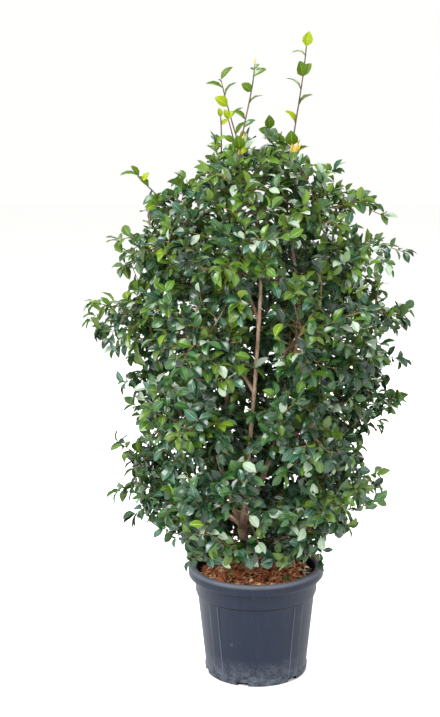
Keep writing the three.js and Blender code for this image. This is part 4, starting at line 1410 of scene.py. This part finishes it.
def leader_leaf(root, lean, towards, length, width, turn, bend, tint):
    angle = math.radians(lean)
    heading = unit(np.array([math.cos(angle), -towards, math.sin(angle)]))
    facing = square_to(TOWARDS + UP * 0.02, heading)
    upper = square_to(UP + TOWARDS * 0.01, heading)
    share = math.radians(turn)
    look = square_to(facing * math.cos(share) + upper * math.sin(share), heading)
    add_leaf(tint, root, heading, look, length / 1000, width / 1000, bend, 0.35 + 0.2 * (turn > 60), 0.34)


long_shoots = {name: shoot for mass in masses for name, shoot in mass["shoots"].items()}
for name, leader in LEADERS.items():
    shoot = long_shoots[name]
    end, heading = shoot.at(1), shoot.heading(1)
    tubes["long_shoots"].append((shoot, 0.0023, 0.0015))
    if leader["beyond"]:
        tip = end + heading * leader["beyond"]
        tubes["long_shoots"].append((curve_between(end, heading, tip, heading), 0.0015, 0.0011))
    length = shoot.lengths[-1]
    for t, *row in leader["leaves"]:
        root = shoot.at(min(1, t)) + heading * max(0, t - 1) * length
        leader_leaf(root, *row)
    for t, lean, long in leader["buds"]:
        root = shoot.at(min(1, t)) + heading * max(0, t - 1) * length
        angle = math.radians(lean)
        buds.append((root, np.array([math.cos(angle), -0.1, math.sin(angle)]), long / 1000))
print(len(buds), "buds on the long shoots")

# %% [markdown]
# ## The leaf
# A camellia leaf is oval with a drawn-out tip, thick, folded a little along its midrib and bent down
# towards the tip. Four stations across it, of seven points each, are enough for that: two for each half
# of the upper side, two for the pale midrib, and one for the underside. With a point at the root and one
# at the tip that makes 35 faces, few enough to repeat ten thousand times.

# %% The leaf in numbers
LEAF_STATIONS = np.array([0.12, 0.34, 0.60, 0.85])
LEAF_WIDTHS = np.array([0.34, 0.93, 0.98, 0.50])
ACROSS = np.array([-1.0, -0.52, -0.07, 0.07, 0.52, 1.0, 0.0])
STRIP_TINTS = (0, 0, 1, 0, 0, 2, 2)   # finish of each strip between two points: upper side, midrib, underside
LEAF_DOME = 0.10
LEAF_THICKNESS = 0.0011
ring = len(ACROSS)
last = len(LEAF_STATIONS) * ring
LEAF_FACES = [(0, 1 + (j + 1) % ring, 1 + j) for j in range(ring)]
for i in range(len(LEAF_STATIONS) - 1):
    for j in range(ring):
        a, b = 1 + i * ring + j, 1 + i * ring + (j + 1) % ring
        LEAF_FACES.append((a, b, b + ring, a + ring))
for j in range(ring):
    start = 1 + last - ring
    LEAF_FACES.append((last + 1, start + j, start + (j + 1) % ring))
LEAF_TINTS = STRIP_TINTS * (len(LEAF_STATIONS) + 1)


def leaf_points(rows):
    """Points of many leaves at once, from their roots, headings, faces and sizes."""
    root, heading, face = (np.array([row[k] for row in rows]) for k in range(3))
    length, width, bend, rise, fold = (np.array([row[k] for row in rows]) for k in range(3, 8))
    side = np.cross(heading, face)
    count = len(rows)
    twist = growth.normal(0, 0.18, count)
    wave = growth.normal(0, 0.05, (count, len(LEAF_STATIONS), 2))
    points = np.zeros((count, last + 2, 3))
    points[:, 0] = root

    def centre(s):
        slope = rise - bend * s
        ahead = length * (np.sin(rise) - np.sin(slope)) / bend
        above = length * (np.cos(slope) - np.cos(rise)) / bend
        return slope, root + heading * ahead[:, None] + face * above[:, None]

    for i, s in enumerate(LEAF_STATIONS):
        slope, middle = centre(s)
        normal = face * np.cos(slope)[:, None] - heading * np.sin(slope)[:, None]
        turn = (twist * s)[:, None]
        level = side * np.cos(turn) + normal * np.sin(turn)
        normal = normal * np.cos(turn) - side * np.sin(turn)
        half = width * LEAF_WIDTHS[i] / 2
        lift = np.zeros((count, ring))
        for j, hand in ((0, 0), (5, 1)):
            lift[:, j] = fold + wave[:, i, hand]
        lift[:, 1] = lift[:, 4] = fold * 0.45 + LEAF_DOME
        lift *= half[:, None]
        lift[:, 6] = -LEAF_THICKNESS
        for j in range(ring):
            place = middle + level * (half * ACROSS[j])[:, None] + normal * lift[:, j][:, None]
            points[:, 1 + i * ring + j] = place
    points[:, last + 1] = centre(1.0)[1]
    return points


# %% [markdown]
# Old leaves are deep green, some of them bluish green, a tint that is partly their own and partly a
# painted reflection of the sky in their gloss. Young ones are yellow-green, which towards the top of the
# crown is partly painted light shining through them. A leaf's colour is one plain colour for its whole
# upper side, with a paler midrib and a duller underside. Rather more than half of a spray's leaves share
# one tint, the others take their own, and some are pale all over, a painted sheen for the light that
# their wax throws back. The wax on the leaf gives a soft gloss, which noise of about 14 mm makes uneven,
# with a slight swelling between the veins.
#
# Some leaves are grown and then left out: those whose middle or tip would lie in a limb or in front of
# one that is in view, those that hang below the hem of the crown and would hide the bark, and those that
# leave the room round the solids.

# %% Leaf colours
LEAF_COLOURS = {                      # upper side, midrib, underside, roughness
    "deep": ("#1B3A20", "#3F6340", "#405A30", 0.27),
    "dark": ("#112717", "#2F4E32", "#344A28", 0.27),
    "mid": ("#2B4F22", "#557E46", "#4F6B36", 0.28),
    # The blue tint is partly a real bluish green and partly a painted reflection of the sky in the gloss.
    "blue": ("#31533F", "#668B70", "#4D6845", 0.25),
    # painted sheen: the pale tint of leaves that throw back the light
    "painted_sheen": ("#8A9C86", "#AEBDA6", "#6B8460", 0.25),
    "olive": ("#425C16", "#6C843C", "#5D762E", 0.28),
    "fresh": ("#416410", "#6C8E38", "#607E2C", 0.29),
    "lime": ("#587218", "#8FA846", "#7F963A", 0.35),
    "leader_green": ("#415A02", "#668414", "#567014", 0.40),
    "leader_lime": ("#788802", "#98A820", "#8A9A20", 0.42),
    "pale": ("#5E6E30", "#86965A", "#7C8C4C", 0.45),
}


WAXY_BELOW = 0.35                     # a finish smoother than this has wax on it


def leaf_material(name, tone, roughness):
    wax_gloss = 0.6 if roughness < WAXY_BELOW else 0.25
    settings = {"Base Color": colour(tone), "IOR": 1.45, "Specular IOR Level": wax_gloss}
    material, tree, shader = new_material(name, settings)
    wax = add_noise(tree, add_place(tree), 14, 1.0)
    feed(tree, shader, {
        "Roughness": add_range(tree, wax, roughness - 0.07, roughness + 0.12),
        "Normal": add_bump(tree, wax, 0.25, 0.0012),
    })
    return material


box_low, box_high = (np.array(corner) for corner in solid_box)
room = (box_high - box_low) * 0.02 + 0.006
GLIMPSES = (                          # where single leaves leave a limb in view from the front
    {"x": (-0.018, 0.010), "height": (0.690, 0.748), "slope": 0.195, "behind": -0.150},
    {"x": (-0.007, 0.019), "height": (0.788, 0.960), "slope": 0.195, "behind": -0.150},
    {"x": (0.064, 0.101), "height": (0.793, 0.880), "slope": 0.195, "behind": -0.074},
    {"x": (-0.064, -0.010), "height": (0.334, 0.400), "slope": 0.337, "behind": -0.020},
)
HEM = {                               # how low a leaf may reach, and where the front and the sides begin
    "front": 0.304, "sides": 0.350, "else": 0.290, "front_from": -0.04, "sides_from": 0.165,
}


def hem_at(tips):
    """The lowest height that leaves with their tips there may reach."""
    hem = np.where(tips[:, 1] < HEM["front_from"], HEM["front"], HEM["else"])
    return np.where(np.abs(tips[:, 0]) > HEM["sides_from"], HEM["sides"], hem)


foliage_nodes = [mass["name"] for mass in masses]
leaf_materials = {}
for tint, rows in leaves.items():
    top, rib, under, roughness = LEAF_COLOURS[tint]
    leaf_materials[tint] = [
        leaf_material(f"leaf_wax_{tint}", top, roughness),
        leaf_material(f"leaf_midrib_{tint}", rib, 0.5),
        leaf_material(f"leaf_underside_{tint}", under, 0.62),
    ]
    if not rows:
        continue
    points = leaf_points(rows)
    middle, tip = points[:, 1 + 2 * ring + 6], points[:, -1]
    keep = clear_of_limbs(middle, 0.003) & clear_of_limbs(tip, 0.002)
    keep &= ~in_opening(middle, GLIMPSES) & ~in_opening(tip, GLIMPSES)
    keep &= points[..., 2].min(axis=1) > hem_at(tip)
    keep &= ((points > box_low - room) & (points < box_high + room)).all(axis=(1, 2))
    piece = new_piece()
    gather(points[keep], LEAF_FACES, LEAF_TINTS, piece)
    build(f"leaves_{tint}", piece, leaf_materials[tint], foliage_nodes)
    print(f"{keep.sum()} of {len(rows)} {tint} leaves kept")

# %% [markdown]
# ## Twigs
# A twig is a thin tapering tube. Four to six sides are enough at a few millimetres across. Older twigs
# are tan, this year's shoots olive-brown, and the long ones that stand out of the crown dark brown, so
# they go into three pieces with a finish of their own.

# %% Tubes along a path


def tube_points(path, radii, sides, wobble=None):
    """Rings of points along a path, with one radius per ring, and the points that close its two ends."""
    steps = len(radii) - 1
    shares = np.linspace(0, 1, steps + 1)
    centres = path.at(shares)
    headings = np.array([path.heading(t) for t in shares])
    across = unit(np.cross(headings[0], UP) + [1e-4, 0, 0])
    rings = []
    for k in range(steps + 1):
        across = square_to(across, headings[k])
        other = np.cross(headings[k], across)
        angles = np.arange(sides) * 2 * math.pi / sides
        radius = np.full(sides, radii[k])
        if wobble is not None:
            radius = radius * wobble(k, angles)
        rings.append(centres[k] + radius[:, None] * (
            np.cos(angles)[:, None] * across + np.sin(angles)[:, None] * other))
    return np.concatenate([*rings, centres[:1], centres[-1:]])


def tube_faces(steps, sides):
    faces = []
    for i in range(steps):
        for j in range(sides):
            a, b = i * sides + j, i * sides + (j + 1) % sides
            faces.append((a, b, b + sides, a + sides))
    foot, tip = (steps + 1) * sides, (steps + 1) * sides + 1
    for j in range(sides):
        faces.append((foot, (j + 1) % sides, j))
        faces.append((tip, steps * sides + j, steps * sides + (j + 1) % sides))
    return faces


def bark_material(name, tones, roughness, grain_mm, depth, stretch):
    """Smooth thin bark: two tones in blotches, with a fine relief that runs along the limb."""
    material, tree, shader = new_material(name, {"Specular IOR Level": 0.3})
    place = add_place(tree)
    along = add_node(tree, "ShaderNodeMapping", {"Scale": (1, 1, stretch)}, {"Vector": place})
    grain = add_noise(tree, along.outputs["Vector"], grain_mm, 5.0, 0.65)
    mixed = add_math(tree, "ADD", grain, add_noise(tree, place, 30, 3.0))
    share = add_range(tree, mixed, 0.0, 1.0, start=0.75, end=1.25)
    feed(tree, shader, {
        "Base Color": add_tones(tree, share, *tones),
        "Roughness": add_range(tree, grain, roughness - 0.1, roughness + 0.1),
        "Normal": add_bump(tree, grain, 0.7, depth),
    })
    return material


TWIG_FINISHES = {                     # name of the finish, its two tones, and a tube's sides and steps
    "twigs": ("twig_bark_tan", ("#5E4636", "#9A7B60"), 5, 6),
    "shoots": ("young_shoot_skin", ("#4C3A26", "#7A6A3C"), 4, 3),
    "long_shoots": ("young_bark_brown", ("#33241E", "#66503F"), 6, 24),
}
for kind, (material_name, tones, sides, steps) in TWIG_FINISHES.items():
    piece = new_piece()
    faces = tube_faces(steps, sides)
    batch = [
        tube_points(path, np.linspace(root, tip, steps + 1), sides) for path, root, tip in tubes[kind]
    ]
    gather(np.array(batch), faces, np.zeros(len(faces), int), piece)
    material = bark_material(material_name, tones, 0.6, 3, 0.0004, 0.4)
    build(kind, piece, [material], foliage_nodes)

# %% [markdown]
# ## Trunk, stems and boughs
# Camellia bark is smooth, thin and light tan, with a slight swelling where each bough leaves its stem and
# low knots where old twigs have dropped. The limbs are tubes with rings every few millimetres, and the
# swellings are drawn into their radii. Two displacements with cloud patterns then give the skin its
# relief.

# %% Limbs with bark relief
LIMB_SIDES = 14
RING_SPACING = 0.005


def limb_tube(limb, number):
    path, length = limb["path"], limb["path"].lengths[-1]
    steps = max(10, int(length / RING_SPACING))
    shares = np.linspace(0, 1, steps + 1)
    radii = np.array([limb["radius_at"](t) for t in shares])
    if "parent" in limb:
        radii = radii * (1 + 0.45 * np.exp(-shares * length / 0.010))
    for bough in limbs:
        if bough.get("parent") is limb:
            radii = radii * (1 + 0.20 * np.exp(-(((shares - bough["parent_t"]) * length) / 0.012) ** 2))
    knots = seeded(900 + number)
    for _ in range(int(length / 0.07)):
        where = knots(0.1, 0.95)
        radii = radii * (1 + 0.10 * np.exp(-(((shares - where) * length) / 0.005) ** 2))

    def wobble(k, angles):
        flare = max(0.0, 1 - shares[k] * length / 0.04) if limb["name"] == "trunk" else 0.0
        drift = 0.04 * np.sin(2 * angles + shares[k] * 9 + number)
        return 1 + drift + 0.16 * flare * np.sin(3 * angles + 0.8)

    return tube_points(path, radii, LIMB_SIDES, wobble), tube_faces(steps, LIMB_SIDES)


limb_bark = bark_material("camellia_bark_tan", ("#866856", "#CCAE96"), 0.78, 4, 0.0008, 0.35)
for name, chosen in (
    ("trunk_and_stems", [limb for limb in limbs if not limb["name"].startswith("bough")]),
    ("boughs", [limb for limb in limbs if limb["name"].startswith("bough")]),
):
    piece = new_piece()
    for number, limb in enumerate(chosen):
        points, faces = limb_tube(limb, number)
        gather(points[None], faces, np.zeros(len(faces), int), piece)
    made = build(name, piece, [limb_bark], [limb["name"] for limb in chosen])
    for pattern, size, height in (("lumps", 0.012, 0.0012), ("fissures", 0.003, 0.0006)):
        clouds = bpy.data.textures.new(f"{name}_{pattern}", "CLOUDS")
        clouds.noise_scale = size
        push = made.modifiers.new(pattern, "DISPLACE")
        push.texture = clouds
        push.strength = height
        bpy.ops.object.modifier_apply(modifier=pattern)

# %% [markdown]
# ## Buds
# Flower and leaf buds are pointed ovals, amber to yellow on the young shoots. Each is a short spindle of
# six sides.

# %% Buds
BUD_SIDES = 6
BUD_RADII = (0.0006, 0.0019, 0.0022, 0.0014, 0.0003)
bud_piece = new_piece()
bud_faces = tube_faces(len(BUD_RADII) - 1, BUD_SIDES)
for root, heading, length in buds:
    heading = unit(heading)
    path = curve_between(root, heading, root + heading * length, unit(heading + UP * 0.3))
    radii = np.array(BUD_RADII) * (0.7 + length / 0.05)
    points = tube_points(path, radii, BUD_SIDES)
    gather(points[None], bud_faces, np.zeros(len(bud_faces), int), bud_piece)
bud_material, tree, shader = new_material("bud_scales_amber", {"Roughness": 0.45})
scales = add_noise(tree, add_place(tree), 6, 2.0)
feed(tree, shader, {"Base Color": add_tones(tree, scales, "#9A6A1E", "#DCC044")})
build("buds", bud_piece, [bud_material])

# %% [markdown]
# ## Fallen leaves and pale litter
# A few bright fallen leaves and some bleached, curled ones lie on the bark, mostly at the right of the
# pot. They use the same leaf, laid flat, with each root a little over the bed, on the chips.

# %% Litter on the bark
FALLEN = (                            # x, y, turn in degrees, length in millimetres, tint
    (0.056, -0.020, 15, 32, "leader_lime"), (0.098, 0.006, 200, 42, "leader_lime"),
    (-0.056, -0.030, 250, 32, "leader_lime"), (0.076, -0.085, 100, 34, "leader_green"),
)
LITTER = (
    (0.118, -0.030, 60, 26), (0.110, -0.056, 130, 22), (0.118, 0.010, 20, 28), (0.100, -0.084, 170, 18),
    (0.080, -0.104, 40, 16), (0.108, -0.010, 100, 22), (-0.110, -0.060, 30, 15), (0.124, -0.012, 150, 24),
)


def lying_leaf(x, y, turn, length, width_share, bend, lift):
    """One leaf on the bark, as a row for leaf_points."""
    angle = math.radians(turn)
    heading = unit(np.array([math.cos(angle), math.sin(angle), 0.12]))
    root = np.array([x, y, bed_height(math.hypot(x, y)) + lift])
    face = square_to(UP, heading)
    return root, heading, face, length / 1000, length * width_share / 1000, bend, 0.3, 0.25


for tint in ("leader_lime", "leader_green"):
    rows = [lying_leaf(*row, 0.5, 0.7, 0.013) for *row, kind in FALLEN if kind == tint]
    piece = new_piece()
    gather(leaf_points(rows), LEAF_FACES, LEAF_TINTS, piece)
    build(f"fallen_{tint}", piece, leaf_materials[tint])
litter_material, tree, shader = new_material("bleached_dry_leaf", {"Roughness": 0.8})
stains = add_noise(tree, add_place(tree), 5, 3.0)
feed(tree, shader, {"Base Color": add_tones(tree, stains, "#8C7A58", "#E4DCC2")})
rows = [lying_leaf(*row, 0.7, 1.9, 0.011) for row in LITTER]
piece = new_piece()
gather(leaf_points(rows), LEAF_FACES, np.zeros(len(LEAF_TINTS), int), piece)
build("dry_litter", piece, [litter_material])
